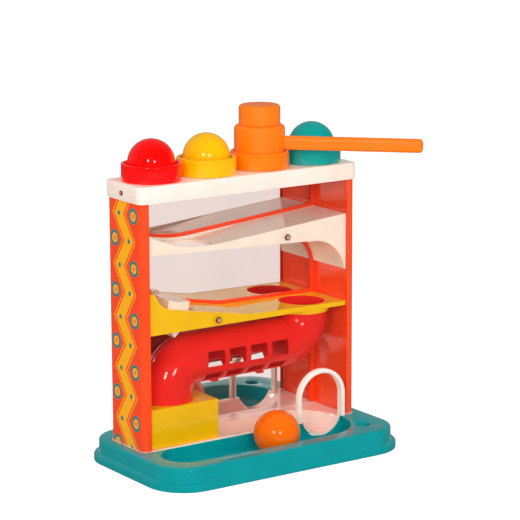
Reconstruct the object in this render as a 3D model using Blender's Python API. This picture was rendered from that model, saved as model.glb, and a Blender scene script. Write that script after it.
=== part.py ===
# Ball pounding bench: a tower with four ball cups on top, two sloping tracks, a bent tube,
# a channelled floor and a base with a ball trough, with its balls and its hammer.
# Lengths are in metres, +Z is up, X runs along the row of cups and -Y is the front.

import math

import bmesh
import bpy
from mathutils import Matrix, Vector

# Gaps and skins
MESH_GAP = 0.0003
BITE = 0.0004
SHEET = 0.0012
WALL = 0.0022

# Ball, which every passage in the toy follows
BALL_DIAMETER = 0.045
BALL_RADIUS = BALL_DIAMETER / 2

# Base moulding
BASE_LENGTH = 0.277
BASE_DEPTH = 0.168
BASE_CORNER = 0.0395
BASE_HEIGHT = 0.0221
BASE_FORWARD = 0.0196
BASE_TIER_HEIGHT = 0.0073
BASE_TIER_STEP = 0.005
BASE_TIER_EDGE = 0.0016
BASE_TIER_FILLET = 0.0012
BASE_FOOT_BEVEL = 0.0007
BASE_EDGE = 0.0028
BASE_WALL = 0.0024

# Trough in front of the tower, and the round hole beside it
TROUGH_LEFT_CENTRE = -0.0913
TROUGH_RIGHT_CENTRE = 0.056
TROUGH_REAR = -0.032
TROUGH_WIDTH = 0.0492
TROUGH_FLOOR = 0.0027
TROUGH_FILLET = 0.006
TROUGH_SKIN = 0.0021
TROUGH_CORNER_SHARE = 0.3
SOCKET_X = 0.1048
SOCKET_Y = -0.0688
SOCKET_RADIUS = 0.0070
SOCKET_WALL = 0.002

# Tower
TOWER_LENGTH = 0.2453
TOWER_DEPTH = 0.0604
TOWER_CORNER = 0.006
PANEL_THICKNESS = 0.00765
PANEL_LIP = 0.0090
PANEL_SKIN = 0.0018
PANEL_FOOT = 0.012
PANEL_WEB = 0.010
GROOVE_DEPTH = 0.0014
WINDOW_SETBACK = 0.0016
MIRROR_FACE = 0.0274
RECESS_DEPTH = 0.0006
RECESS_HALF_WIDTH = 0.018
RECESS_LEVELS = ((0.0620, 0.1240), (0.1420, 0.1600), (0.2285, 0.2540))

# Floor with its channel
FLOOR_THICKNESS = 0.0010
FLOOR_LEDGE = 0.0009
FLOOR_SINK = 0.0011
CHANNEL_RADIUS = 0.022
CHANNEL_Y = -0.003
CHANNEL_START = -0.081
CHANNEL_TURN_RADIUS = 0.0248
CHANNEL_EXIT_X = 0.0805
CHANNEL_HIGH = 0.0130
CHANNEL_LOW = 0.0082
CHANNEL_SIDE_RAISE = 0.0040
LIP_REACH = 0.0330

# Top bar
BAR_TOP = 0.2746
BAR_HEIGHT = 0.0162
BAR_SKIN = 0.0016
BAR_PLATE = 0.0024
BAR_EDGE = 0.0018

# Cups
CUP_COLOURS = ("red", "yellow", "orange", "teal")
CUP_PITCH = 0.0612
CUP_RADIUS = 0.0285
CUP_HEIGHT = 0.0164
CUP_EDGE = 0.0012
CUP_INNER_EDGE = 0.0007
CUP_MOUTH_RADIUS = 0.0254
CUP_THROAT_RADIUS = 0.0236
CUP_SPIGOT_WALL = 0.0022
RING_BELOW_RIM = 0.0048
RING_THICKNESS = 0.0016
RING_HOLE_RADIUS = 0.0219
RING_SLANT = 0.0004

# Tracks: the curb tops are lines with a curved left end
TRACK_SHEET = 0.0020
TRACK_FLANGE = 0.0014
TRACK_FRONT = -0.0269
TRACK_REAR = 0.0258
TRACK_END_GAP = 0.0006
CURB = 0.0030
CURB_LEAST = 0.0002
CURB_END_X = 0.020
SLOT_ABOVE_PIN = 0.0030
HOLE_CUTTER = 0.030
HOLE_CUTTER_BELOW = 0.012
UPPER_KNEE_X = -0.035
UPPER_KNEE_Z = 0.2117
UPPER_SLOPE = 0.0848
UPPER_CURVE_RADIUS = 0.136
UPPER_UNDERSIDE_LEFT = 0.2088
UPPER_UNDERSIDE_SLOPE = 0.0366
BAFFLE_RADIUS = 0.0385
BAFFLE_DROP = 0.0065
BAFFLE_OVERLAP = 7
UPPER_HOLE_X = -0.053
HOLE_RADIUS = 0.0232
COLLAR_WALL = 0.0010
UPPER_COLLAR_DROP = 0.0016
LOWER_BEND_X = 0.0013
LOWER_BEND_Z = 0.1387
LOWER_STEEP_SLOPE = 0.177
LOWER_SHALLOW_SLOPE = 0.018
LOWER_CURVE_RADIUS = 0.027
LOWER_CURVE_START = -0.086
LOWER_LEFT_TOP = 0.1800
LOWER_UNDERSIDE = 0.1325
LOWER_HOLE_X = 0.080
LOWER_COLLAR_BOTTOM = 0.1298

# Rocker and its pin
ROCKER_WIDTH = 0.0235
ROCKER_DEPTH = 0.040
ROCKER_HEIGHT = 0.0360
ROCKER_VEE = 0.0140
ROCKER_DISH = 0.0016
ROCKER_PIVOT_ABOVE_TIP = 0.016
ROCKER_TIP_X = -0.0809
ROCKER_TIP_Z = 0.1254
ROCKER_LEAN = math.radians(9.4)
PIN_RADIUS = 0.0018
PIN_CLEARANCE = 0.0004
PIN_INSET = 0.0005
LUG_THICKNESS = 0.0024
LUG_RADIUS = 0.0046
SLOT_LEFT = -0.0931
SLOT_RIGHT = -0.0560
STOP_RIB = 0.0018

# Bent tube
TUBE_RADIUS = 0.0252
TUBE_WALL = 0.0014
TUBE_BEND = 0.028
TUBE_INLET_BEND = 0.0262
TUBE_HEIGHT = 0.0988
TUBE_FALL = 0.0012
TUBE_OUTLET_X = -0.078
TUBE_WINDOW_START = -0.0462
TUBE_WINDOW_PITCH = 0.0246
TUBE_WINDOW_LENGTH = 0.0192
TUBE_WINDOWS = 4
TAB_CENTRES = (-0.0235, 0.0295)
TAB_LENGTH = 0.007
TAB_THICKNESS = 0.0022
TAB_DROP = 0.003
SIDE_WINDOW_ANGLE = math.radians(2)
SIDE_WINDOW_HEIGHT = 0.0148
LOW_WINDOW_ANGLE = math.radians(-47)
LOW_WINDOW_HEIGHT = 0.0126

# Exit box under the tube
BOX_RIGHT = -0.0367
BOX_TOP = 0.0608
BOX_WALL = 0.0018
BOX_HOLE_RADIUS = 0.0232

# Arch on the window
ARCH_X = 0.0807
ARCH_RADIUS = 0.0283
ARCH_RAIL = 0.0044
ARCH_PROUD = 0.0058
ARCH_SPRING = 0.0453
ARCH_SLEEVE = 0.0016
ARCH_ROUNDING = 0.0016

# Back frame rails
RAIL_HEIGHT = 0.0038
RAIL_RISE = 0.0032
RAIL_BAND = 0.0061
RAIL_THICKNESS = 0.0010
RAIL_BORDER = 0.0050

# Screws
SCREW_RADIUS = 0.0014
SCREW_HEAD_RADIUS = 0.0030
SCREW_HEAD_HEIGHT = 0.0016
BAR_SCREW_HEAD_RADIUS = 0.0023
SCREW_CLEARANCE = 0.0004
SCREW_BOSS_RADIUS = 0.0034
SCREW_RIM_SHARE = 0.55
SCREW_CROWN_SHARE = 0.75
SCREW_RECESS_SHARE = 0.35
SCREW_RECESS_DEPTH_SHARE = 0.45
SCREW_DEPTH_SHARE = 0.85
SCREW_HOLE_SHARE = 0.9
TRACK_SCREW_LENGTH = 0.010
UPPER_SCREW_X = 0.043
UPPER_SCREW_Z = 0.2090
LOWER_SCREW_X = -0.037
LOWER_SCREW_Z = 0.1385
BAR_SCREW_DROP = 0.0089
BAR_SCREW_LENGTH = 0.007
BASE_SCREW_Y = 0.0150
BASE_SCREW_LENGTH = 0.020
BASE_SCREW_SEAT = 0.006

# Hammer
HAMMER_CUP = "orange"
HAMMER_HEADING = math.radians(-45)
BARREL_RADIUS = 0.0246
BARREL_LENGTH = 0.030
BARREL_ROUNDING = 0.0045
TIP_RADIUS = 0.0197
TIP_LENGTH = 0.020
TIP_ROUNDING = 0.0040
TIP_TENON_RADIUS = 0.012
TIP_TENON = 0.008
CAP_RADIUS = 0.0200
CAP_LENGTH = 0.019
CAP_ROUNDING = 0.0030
HANDLE_HEIGHT = 0.0132
HANDLE_WIDTH = 0.0092
HANDLE_ROUNDING = 0.0036
HANDLE_LEVEL = 0.0126
HANDLE_REACH = 0.1575

# Loose ball
TROUGH_BALL_X = 0.0110
TROUGH_BALL_Y = -0.056

# Facets round one turn or along one curve
ROUND_STEPS = 28
CUP_STEPS = 28
ROD_STEPS = 14
CURVE_STEPS = 8
PIPE_STEPS = 12
ARCH_STEPS = 18
TENON_STEPS = 20
SOFT_STEPS = 2
BALL_SEGMENTS = 20
BALL_RINGS = 11
TUBE_SECTION_STEPS = 9
BEND_STEPS = 5
CORNER_STEPS = 5
SCREW_STEPS = 8
HOLE_STEPS = 26
BORE_STEPS = 10
EDGE_STEPS = 3

# Heights worked out from the sizes above
PANEL_INNER = TOWER_LENGTH / 2 - PANEL_THICKNESS
FLOOR_BOTTOM = BASE_HEIGHT - FLOOR_SINK + MESH_GAP
FLOOR_TOP = FLOOR_BOTTOM + FLOOR_THICKNESS
PANEL_BOTTOM = FLOOR_TOP + MESH_GAP
PANEL_TOP = BAR_TOP - BAR_PLATE - MESH_GAP
WINDOW_FRONT = -TOWER_DEPTH / 2 + WINDOW_SETBACK
BAR_SCREW_HEIGHT = BAR_TOP - BAR_SCREW_DROP
CUP_RIM = BAR_TOP + MESH_GAP + CUP_HEIGHT
RING_TOP = CUP_RIM - RING_BELOW_RIM
CHANNEL_RISE = CHANNEL_LOW + CHANNEL_RADIUS

CREAM = (0.94, 0.84, 0.74)
ORANGE_RED = (1.0, 0.11, 0.02)
TEAL = (0.0, 0.36, 0.38)
YELLOW = (0.96, 0.55, 0.0)
RED = (0.86, 0.015, 0.012)
ORANGE = (1.0, 0.20, 0.0)
STEEL = (0.55, 0.45, 0.40)


def clear_scene():
    for item in list(bpy.data.objects):
        bpy.data.objects.remove(item, do_unlink=True)


def plastic(name, colour, roughness=0.2, metallic=0.0, alpha=1.0):
    material = bpy.data.materials.get(name) or bpy.data.materials.new(name)
    material.use_nodes = True
    shader = material.node_tree.nodes["Principled BSDF"]
    shader.inputs["Base Color"].default_value = (*colour, 1.0)
    shader.inputs["Roughness"].default_value = roughness
    shader.inputs["Metallic"].default_value = metallic
    shader.inputs["Alpha"].default_value = alpha
    material.diffuse_color = (*colour, alpha)
    return material


def finish(name, bm, material, location=(0, 0, 0)):
    bmesh.ops.recalc_face_normals(bm, faces=bm.faces)
    mesh = bpy.data.meshes.new(name)
    bm.to_mesh(mesh)
    bm.free()
    mesh.shade_smooth()
    mesh.set_sharp_from_angle(angle=math.radians(35))
    body = bpy.data.objects.new(name, mesh)
    body.location = location
    bpy.context.collection.objects.link(body)
    if material:
        mesh.materials.append(material)
    return body


def tool_body(name, bm, location=(0, 0, 0)):
    body = finish("tool_" + name, bm, None, location)
    body.hide_render = True
    body.display_type = "WIRE"
    return body


def combine(body, tool, operation):
    modifier = body.modifiers.new(tool.name, "BOOLEAN")
    modifier.operation = operation
    modifier.solver = "EXACT"
    modifier.object = tool


def join(body, *tools):
    for tool in tools:
        combine(body, tool, "UNION")


def cut(body, *tools):
    for tool in tools:
        combine(body, tool, "DIFFERENCE")


def arc(centre, radius, start, end, steps):
    points = []
    for step in range(steps + 1):
        angle = math.radians(start + (end - start) * step / steps)
        points.append((centre[0] + radius * math.cos(angle), centre[1] + radius * math.sin(angle)))
    return points


def rounded_rectangle(length, depth, radius, centre=(0, 0), steps=CORNER_STEPS):
    across = length / 2 - radius
    along = depth / 2 - radius
    x, y = centre
    return (
        arc((x + across, y + along), radius, 0, 90, steps)
        + arc((x - across, y + along), radius, 90, 180, steps)
        + arc((x - across, y - along), radius, 180, 270, steps)
        + arc((x + across, y - along), radius, 270, 360, steps)
    )


def prism(outline, low, high, axis="Z"):
    # The outline lies in XY for a Z prism, in XZ for a Y prism and in YZ for an X prism.
    place = {
        "Z": lambda p, h: (p[0], p[1], h),
        "Y": lambda p, h: (p[0], h, p[1]),
        "X": lambda p, h: (h, p[0], p[1]),
    }[axis]
    bm = bmesh.new()
    verts = [bm.verts.new(place(point, low)) for point in outline]
    face = bm.faces.new(verts)
    grown = bmesh.ops.extrude_face_region(bm, geom=[face])
    top = [item for item in grown["geom"] if isinstance(item, bmesh.types.BMVert)]
    shift = Vector(place((0, 0), high)) - Vector(place((0, 0), low))
    bmesh.ops.translate(bm, vec=shift, verts=top)
    return bm


def block(x, y, z):
    return prism([(x[0], y[0]), (x[1], y[0]), (x[1], y[1]), (x[0], y[1])], z[0], z[1])


def lofted(rings):
    # Each ring is a list of 3D points, all with the same count; the first and last are capped.
    bm = bmesh.new()
    loops = [[bm.verts.new(point) for point in ring] for ring in rings]
    count = len(loops[0])
    for lower, upper in zip(loops, loops[1:]):
        for step in range(count):
            after = (step + 1) % count
            bm.faces.new((lower[step], lower[after], upper[after], upper[step]))
    bm.faces.new(loops[0])
    bm.faces.new(loops[-1])
    return bm


def turned(profile, steps=ROUND_STEPS):
    # Profile points are (radius, height). A profile that starts and ends on the axis makes a
    # solid; any other profile is closed into a ring.
    bm = bmesh.new()
    verts = [bm.verts.new((radius, 0, height)) for radius, height in profile]
    edges = [bm.edges.new(pair) for pair in zip(verts, verts[1:])]
    if profile[0][0] > 0 or profile[-1][0] > 0:
        edges.append(bm.edges.new((verts[-1], verts[0])))
    bmesh.ops.spin(
        bm, geom=verts + edges, cent=(0, 0, 0), axis=(0, 0, 1), dvec=(0, 0, 0),
        angle=2 * math.pi, steps=steps, use_merge=True, use_duplicate=False,
    )
    bmesh.ops.remove_doubles(bm, verts=bm.verts, dist=1e-6)
    return bm


def swept(section, path, up):
    # The section's first number runs along up, its second to the right of the way forward.
    up = Vector(up)
    path = [Vector(point) for point in path]
    rings = []
    for index, point in enumerate(path):
        ahead = path[min(index + 1, len(path) - 1)]
        behind = path[max(index - 1, 0)]
        forward = (ahead - behind).normalized()
        side = forward.cross(up).normalized()
        rings.append([point + up * a + side * b for a, b in section])
    return lofted(rings)


def stacked(outline, profile):
    # The outline takes an inset; the profile holds (inset, height) pairs.
    rings = []
    for inset, height in profile:
        rings.append([(x, y, height) for x, y in outline(inset)])
    return lofted(rings)


def rounded_edge(inset, top, radius, steps=EDGE_STEPS):
    # The rounded outer edge of a stacked solid, as (inset, height) pairs.
    pairs = []
    for step in range(steps + 1):
        angle = math.radians(90) * step / steps
        pairs.append((inset + radius * (1 - math.cos(angle)), top - radius * (1 - math.sin(angle))))
    return pairs


def rod(radius, length, start, axis, steps=ROD_STEPS):
    bm = turned([(0, 0), (radius, 0), (radius, length), (0, length)], steps)
    turn = Vector((0, 0, 1)).rotation_difference(Vector(axis)).to_matrix().to_4x4()
    bmesh.ops.transform(bm, matrix=Matrix.Translation(start) @ turn, verts=bm.verts)
    return bm


def screw(length, start, axis, head=SCREW_HEAD_RADIUS):
    # A pan head with a short shank; start is the underside of the head.
    crown = SCREW_HEAD_HEIGHT
    profile = [
        (0, length), (SCREW_RADIUS, length - SCREW_RADIUS), (SCREW_RADIUS, 0), (head, 0),
        (head, -crown * SCREW_RIM_SHARE), (head * SCREW_CROWN_SHARE, -crown),
        (head * SCREW_RECESS_SHARE, -crown), (0, -crown * SCREW_RECESS_DEPTH_SHARE),
    ]
    bm = turned(profile, SCREW_STEPS)
    turn = Vector((0, 0, 1)).rotation_difference(Vector(axis)).to_matrix().to_4x4()
    bmesh.ops.transform(bm, matrix=Matrix.Translation(start) @ turn, verts=bm.verts)
    return bm


def bore_rod(length, start, axis):
    # The cutter of a screw's hole.
    return rod(SCREW_RADIUS + SCREW_CLEARANCE, length, start, axis, BORE_STEPS)


def merged(shapes):
    # Separate shapes as one mesh.
    bm = bmesh.new()
    for shape in shapes:
        mesh = bpy.data.meshes.new("merge")
        shape.to_mesh(mesh)
        shape.free()
        bm.from_mesh(mesh)
        bpy.data.meshes.remove(mesh)
    return bm


# Curves of the tracks

def upper_curb(x):
    if x >= UPPER_KNEE_X:
        return UPPER_KNEE_Z + UPPER_SLOPE * (x - UPPER_KNEE_X)
    back = UPPER_KNEE_X - x
    return UPPER_KNEE_Z - UPPER_SLOPE * back + back * back / (2 * UPPER_CURVE_RADIUS)


def upper_floor(x):
    # The floor lies CURB under the curb round the hole, and rises to it towards the right.
    share = min(max((CURB_END_X - x) / (CURB_END_X - UPPER_KNEE_X), 0), 1)
    return upper_curb(x) - CURB_LEAST - (CURB - CURB_LEAST) * share


def lower_curb(x):
    if x >= LOWER_BEND_X:
        return LOWER_BEND_Z - LOWER_SHALLOW_SLOPE * (x - LOWER_BEND_X)
    if x >= LOWER_CURVE_START:
        return LOWER_BEND_Z - LOWER_STEEP_SLOPE * (x - LOWER_BEND_X)
    tilt = math.atan(LOWER_STEEP_SLOPE)
    start_z = lower_curb(LOWER_CURVE_START)
    centre_x = LOWER_CURVE_START + LOWER_CURVE_RADIUS * math.sin(tilt)
    centre_z = start_z + LOWER_CURVE_RADIUS * math.cos(tilt)
    across = max(x - centre_x, -LOWER_CURVE_RADIUS)
    height = centre_z - math.sqrt(max(LOWER_CURVE_RADIUS ** 2 - across ** 2, 0))
    return min(height, LOWER_LEFT_TOP)


def upper_underside(x):
    left = -PANEL_INNER
    return UPPER_UNDERSIDE_LEFT - UPPER_UNDERSIDE_SLOPE * (x - left)


TRACK_END = PANEL_INNER - TRACK_END_GAP


def upper_stations():
    curved = UPPER_KNEE_X + TRACK_END
    bend = [-TRACK_END + curved * step / CURVE_STEPS for step in range(CURVE_STEPS + 1)]
    return bend + [CURB_END_X, TRACK_END]


def lower_stations():
    tilt = math.atan(LOWER_STEEP_SLOPE)
    centre_x = LOWER_CURVE_START + LOWER_CURVE_RADIUS * math.sin(tilt)
    left = centre_x - LOWER_CURVE_RADIUS
    stations = [-TRACK_END]
    for step in range(CURVE_STEPS + 1):
        share = step / CURVE_STEPS
        angle = math.radians(90) * (1 - share) + tilt * share
        stations.append(centre_x - LOWER_CURVE_RADIUS * math.sin(angle))
    stations[1] = left
    return stations + [LOWER_BEND_X, TRACK_END]


def strip(curve, stations, top_drop, thickness, low, high):
    # A band that follows the curve, from top_drop under it, extruded along Y.
    upper = [(x, curve(x) - top_drop) for x in stations]
    lower = [(x, z - thickness) for x, z in reversed(upper)]
    return prism(upper + lower, low, high, "Y")


def baffle_arc(radius, start=90, end=0):
    x = TRACK_END - BAFFLE_RADIUS
    return arc((x, upper_underside(x) - BAFFLE_RADIUS), radius, start, end, CURVE_STEPS)


# Base

def base_outline(inset):
    return rounded_rectangle(
        BASE_LENGTH - 2 * inset, BASE_DEPTH - 2 * inset, BASE_CORNER - inset, (0, -BASE_FORWARD)
    )


def trough_outline(inset):
    half = TROUGH_WIDTH / 2 - inset
    middle = TROUGH_REAR - TROUGH_WIDTH / 2
    rear = TROUGH_REAR - inset
    sweep = TROUGH_WIDTH - inset
    left = arc((TROUGH_LEFT_CENTRE, middle), half, 90, 270, PIPE_STEPS)
    centre = (TROUGH_RIGHT_CENTRE, TROUGH_REAR)
    last = math.degrees(math.asin(-inset / sweep))
    right = arc(centre, sweep, -90, last, CURVE_STEPS)
    right[0] = (TROUGH_RIGHT_CENTRE, middle - half)
    right[-1] = (TROUGH_RIGHT_CENTRE + sweep * math.cos(math.radians(last)), rear)
    return left + right


def channel_path(front, start_shift):
    # Along the tower, round a quarter turn and out to the front, falling all the way.
    turn_x = CHANNEL_EXIT_X - CHANNEL_TURN_RADIUS
    turn_y = CHANNEL_Y - CHANNEL_TURN_RADIUS
    flat = [(CHANNEL_START + start_shift, CHANNEL_Y), (turn_x - CHANNEL_TURN_RADIUS / 2, CHANNEL_Y)]
    flat += arc((turn_x, turn_y), CHANNEL_TURN_RADIUS, 90, 0, CURVE_STEPS)
    flat.append((CHANNEL_EXIT_X, -front))
    lengths = [0.0]
    for before, after in zip(flat, flat[1:]):
        lengths.append(lengths[-1] + math.dist(before, after))
    points = []
    for (x, y), run in zip(flat, lengths):
        share = run / lengths[-1]
        bottom = CHANNEL_HIGH + (CHANNEL_LOW - CHANNEL_HIGH) * share
        points.append((x, y, bottom + CHANNEL_RADIUS))
    return points


def channel_section(radius, raise_to):
    # A half pipe, with straight sides up to raise_to above its axis.
    lower = arc((0, 0), radius, 90, 270, PIPE_STEPS)
    return [(raise_to, radius)] + lower + [(raise_to, -radius)]


def build_base():
    outside = [(BASE_FOOT_BEVEL, 0), (0, BASE_FOOT_BEVEL)]
    outside += rounded_edge(0, BASE_TIER_HEIGHT, BASE_TIER_EDGE, SOFT_STEPS)
    outside += [
        (BASE_TIER_STEP - BASE_TIER_FILLET, BASE_TIER_HEIGHT),
        (BASE_TIER_STEP, BASE_TIER_HEIGHT + BASE_TIER_FILLET),
    ]
    outside += rounded_edge(BASE_TIER_STEP, BASE_HEIGHT, BASE_EDGE)
    base = finish("base_tray", stacked(base_outline, outside), plastic("base_teal", TEAL, 0.16))
    ceiling = BASE_HEIGHT - BASE_WALL
    hollow = [
        (BASE_WALL, -BITE), (BASE_WALL, BASE_TIER_HEIGHT - BASE_WALL),
        (BASE_TIER_STEP + BASE_WALL, BASE_TIER_HEIGHT - BASE_WALL),
        (BASE_TIER_STEP + BASE_WALL, ceiling - BASE_EDGE / 2),
        (BASE_TIER_STEP + BASE_WALL + BASE_EDGE / 2, ceiling),
    ]
    cut(base, tool_body("base_hollow", stacked(base_outline, hollow)))
    wall_top = BASE_HEIGHT - BASE_WALL / 2
    skin = [
        (TROUGH_FILLET * TROUGH_CORNER_SHARE - TROUGH_SKIN, TROUGH_FLOOR - TROUGH_SKIN),
        (-TROUGH_SKIN, TROUGH_FILLET), (-TROUGH_SKIN, wall_top),
    ]
    join(base, tool_body("trough_skin", stacked(trough_outline, skin)))
    start = (SOCKET_X, SOCKET_Y, MESH_GAP)
    socket = rod(SOCKET_RADIUS + SOCKET_WALL, wall_top - MESH_GAP, start, (0, 0, 1), HOLE_STEPS)
    join(base, tool_body("socket_wall", socket))
    bosses = []
    for x in (-1, 1):
        for y in (-1, 1):
            start = (x * screw_column(), y * BASE_SCREW_Y, BASE_SCREW_SEAT)
            radius = SCREW_BOSS_RADIUS + BASE_WALL / 2
            bosses.append(rod(radius, wall_top - BASE_SCREW_SEAT, start, (0, 0, 1)))
    join(base, tool_body("screw_bosses", merged(bosses)))
    pocket = []
    for step in range(EDGE_STEPS + 1):
        angle = math.radians(90) * step / EDGE_STEPS
        height = TROUGH_FLOOR + TROUGH_FILLET * (1 - math.cos(angle))
        pocket.append((TROUGH_FILLET * (1 - math.sin(angle)), height))
    pocket.append((0, BASE_HEIGHT + BASE_EDGE))
    cut(base, tool_body("trough_pocket", stacked(trough_outline, pocket)))
    start = (SOCKET_X, SOCKET_Y, -BASE_HEIGHT / 2)
    hole = rod(SOCKET_RADIUS, BASE_HEIGHT * 2, start, (0, 0, 1), HOLE_STEPS)
    cut(base, tool_body("socket_hole", hole))
    channel_reach = CHANNEL_RADIUS + WALL + MESH_GAP * 2
    well = block(
        (CHANNEL_START - channel_reach, CHANNEL_EXIT_X + channel_reach),
        (CHANNEL_Y - channel_reach, CHANNEL_Y + channel_reach), (TROUGH_FLOOR, BASE_HEIGHT + BASE_EDGE),
    )
    cut(base, tool_body("channel_well", well))
    notch = channel_section(channel_reach, BASE_HEIGHT)
    path = [(CHANNEL_EXIT_X, y, CHANNEL_RISE) for y in (CHANNEL_Y, TROUGH_REAR - BASE_WALL)]
    cut(base, tool_body("lip_notch", swept(notch, path, (0, 0, 1))))
    seat = prism(floor_outline(MESH_GAP), BASE_HEIGHT - FLOOR_SINK, BASE_HEIGHT + BASE_EDGE)
    cut(base, tool_body("floor_seat", seat))
    shafts = []
    for x in (-1, 1):
        for y in (-1, 1):
            start = (x * screw_column(), y * BASE_SCREW_Y, -BITE)
            shafts.append(bore_rod(BASE_HEIGHT * 2, start, (0, 0, 1)))
    cut(base, tool_body("screw_shafts", merged(shafts)))
    return base


def screw_column():
    return TOWER_LENGTH / 2 - PANEL_THICKNESS / 2


def floor_outline(gap):
    reach = FLOOR_LEDGE + gap
    return rounded_rectangle(TOWER_LENGTH + 2 * reach, TOWER_DEPTH + 2 * reach, TOWER_CORNER + reach)


def build_floor():
    outline = floor_outline(0)
    cream = plastic("chute_cream", CREAM, 0.22)
    floor = finish("floor_chute", prism(outline, FLOOR_BOTTOM, FLOOR_TOP), cream)
    outer = CHANNEL_RADIUS + WALL
    section = channel_section(outer, CHANNEL_SIDE_RAISE)
    channel = tool_body("channel_body", swept(section, channel_path(LIP_REACH, -outer), (0, 0, 1)))
    across = (-TOWER_LENGTH, TOWER_LENGTH)
    above = block(across, across, (FLOOR_TOP - BITE / 4, BAR_TOP))
    cut(channel, tool_body("above_floor", above))
    join(floor, channel)
    section = channel_section(CHANNEL_RADIUS, CHANNEL_RADIUS)
    path = channel_path(LIP_REACH + WALL, -CHANNEL_RADIUS)
    cut(floor, tool_body("channel_bore", swept(section, path, (0, 0, 1))))
    shafts = []
    for x in (-1, 1):
        for y in (-1, 1):
            start = (x * screw_column(), y * BASE_SCREW_Y, FLOOR_BOTTOM - BITE)
            shafts.append(bore_rod(FLOOR_THICKNESS * 4, start, (0, 0, 1)))
    cut(floor, tool_body("floor_screw_holes", merged(shafts)))
    return floor


# Tower

def build_end_panel(name, side):
    # A hollow board with lips front and rear that keep the window and the mirror in their grooves.
    outer = TOWER_LENGTH / 2
    centre = side * screw_column()
    half = TOWER_DEPTH / 2
    corner = TOWER_CORNER
    lip = outer - PANEL_LIP
    groove = PANEL_INNER + GROOVE_DEPTH
    window = (WINDOW_FRONT - MESH_GAP, WINDOW_FRONT + SHEET + MESH_GAP)
    mirror = (MIRROR_FACE - MESH_GAP, MIRROR_FACE + SHEET + MESH_GAP)
    outline = [(lip, -half)] + arc((outer - corner, -half + corner), corner, -90, 0, CORNER_STEPS)
    outline += arc((outer - corner, half - corner), corner, 0, 90, CORNER_STEPS)
    outline += [(lip, half), (lip, mirror[1]), (groove, mirror[1]), (groove, mirror[0])]
    outline += [(PANEL_INNER, mirror[0]), (PANEL_INNER, window[1]), (groove, window[1])]
    outline += [(groove, window[0]), (lip, window[0])]
    outline = [(side * x, y) for x, y in outline]
    orange = plastic("panel_orange", ORANGE_RED, 0.22)
    panel = finish(name, prism(outline, PANEL_BOTTOM, PANEL_TOP), orange)
    cavities = []
    room = half - TOWER_CORNER
    x = sorted((side * (groove + PANEL_SKIN / 2), side * (outer - PANEL_SKIN)))
    for y in (-1, 1):
        low, high = sorted((y * PANEL_WEB / 2, y * room))
        cavities.append(block(x, (low, high), (PANEL_BOTTOM + PANEL_FOOT, PANEL_TOP + WALL)))
    cut(panel, tool_body(name + "_cavities", merged(cavities)))
    recesses = []
    x = sorted((side * (PANEL_INNER - WALL), side * (PANEL_INNER + RECESS_DEPTH)))
    for low, high in RECESS_LEVELS:
        recesses.append(block(x, (-RECESS_HALF_WIDTH, RECESS_HALF_WIDTH), (low, high)))
    cut(panel, tool_body(name + "_recesses", merged(recesses)))
    holes = []
    for y in (-1, 1):
        start = (centre, y * BASE_SCREW_Y, PANEL_BOTTOM - BITE)
        holes.append(bore_rod(PANEL_FOOT * SCREW_HOLE_SHARE, start, (0, 0, 1)))
    start = (side * (outer + BITE), 0, BAR_SCREW_HEIGHT)
    holes.append(bore_rod(BAR_SCREW_LENGTH, start, (-side, 0, 0)))
    cut(panel, tool_body(name + "_screw_holes", merged(holes)))
    return panel


def build_window():
    edge = PANEL_INNER + GROOVE_DEPTH - MESH_GAP
    outline = [(-edge, PANEL_TOP - MESH_GAP), (-edge, PANEL_BOTTOM)]
    reach = ARCH_RADIUS - ARCH_RAIL + ARCH_SLEEVE + MESH_GAP
    outline += [(ARCH_X - reach, PANEL_BOTTOM)]
    outline += arc((ARCH_X, ARCH_SPRING), reach, 180, 0, ARCH_STEPS)
    outline += [(ARCH_X + reach, PANEL_BOTTOM), (edge, PANEL_BOTTOM), (edge, PANEL_TOP - MESH_GAP)]
    glazing = plastic("window_clear", (0.95, 0.93, 0.92), 0.05, 0.0, 0.3)
    window = finish("front_window", prism(outline, WINDOW_FRONT, WINDOW_FRONT + SHEET, "Y"), glazing)
    holes = []
    for x, z in ((UPPER_SCREW_X, UPPER_SCREW_Z), (LOWER_SCREW_X, LOWER_SCREW_Z)):
        start = (x, WINDOW_FRONT - BITE, z)
        holes.append(bore_rod(SHEET * 2, start, (0, 1, 0)))
    cut(window, tool_body("window_screw_holes", merged(holes)))
    return window


def build_mirror():
    edge = PANEL_INNER + GROOVE_DEPTH - MESH_GAP
    depth = (MIRROR_FACE, MIRROR_FACE + SHEET)
    sheet = block((-edge, edge), depth, (PANEL_BOTTOM, PANEL_TOP - MESH_GAP))
    return finish("mirror_sheet", sheet, plastic("mirror_silver", (0.9, 0.9, 0.9), 0.03, 1.0))


def build_back_frame():
    # A thin frame against the mirror: two posts, two rails that follow the tracks and the
    # quarter round that follows the baffle.
    rear = MIRROR_FACE - MESH_GAP
    front = rear - RAIL_THICKNESS
    edge = PANEL_INNER - MESH_GAP
    frame = finish(
        "back_frame",
        block((-edge, -edge + RAIL_BORDER), (front, rear), (PANEL_BOTTOM, PANEL_TOP - MESH_GAP)),
        plastic("frame_orange", ORANGE_RED, 0.22),
    )
    post = block((edge - RAIL_BORDER, edge), (front, rear), (PANEL_BOTTOM, PANEL_TOP - MESH_GAP))
    rails = []
    for curve, stations in ((upper_curb, upper_stations()), (lower_curb, lower_stations())):
        stations = [-edge + BITE] + stations[1:-1] + [edge - BITE]
        rails.append(strip(curve, stations, -RAIL_RISE, RAIL_BAND, front, rear))
    quarter = baffle_arc(BAFFLE_RADIUS) + list(reversed(baffle_arc(BAFFLE_RADIUS - RAIL_HEIGHT)))
    rails.append(prism(quarter, front, rear, "Y"))
    parts = [post] + rails
    for index, part in enumerate(parts):
        join(frame, tool_body("frame_part_%d" % index, part))
    return frame


# Tracks

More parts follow.
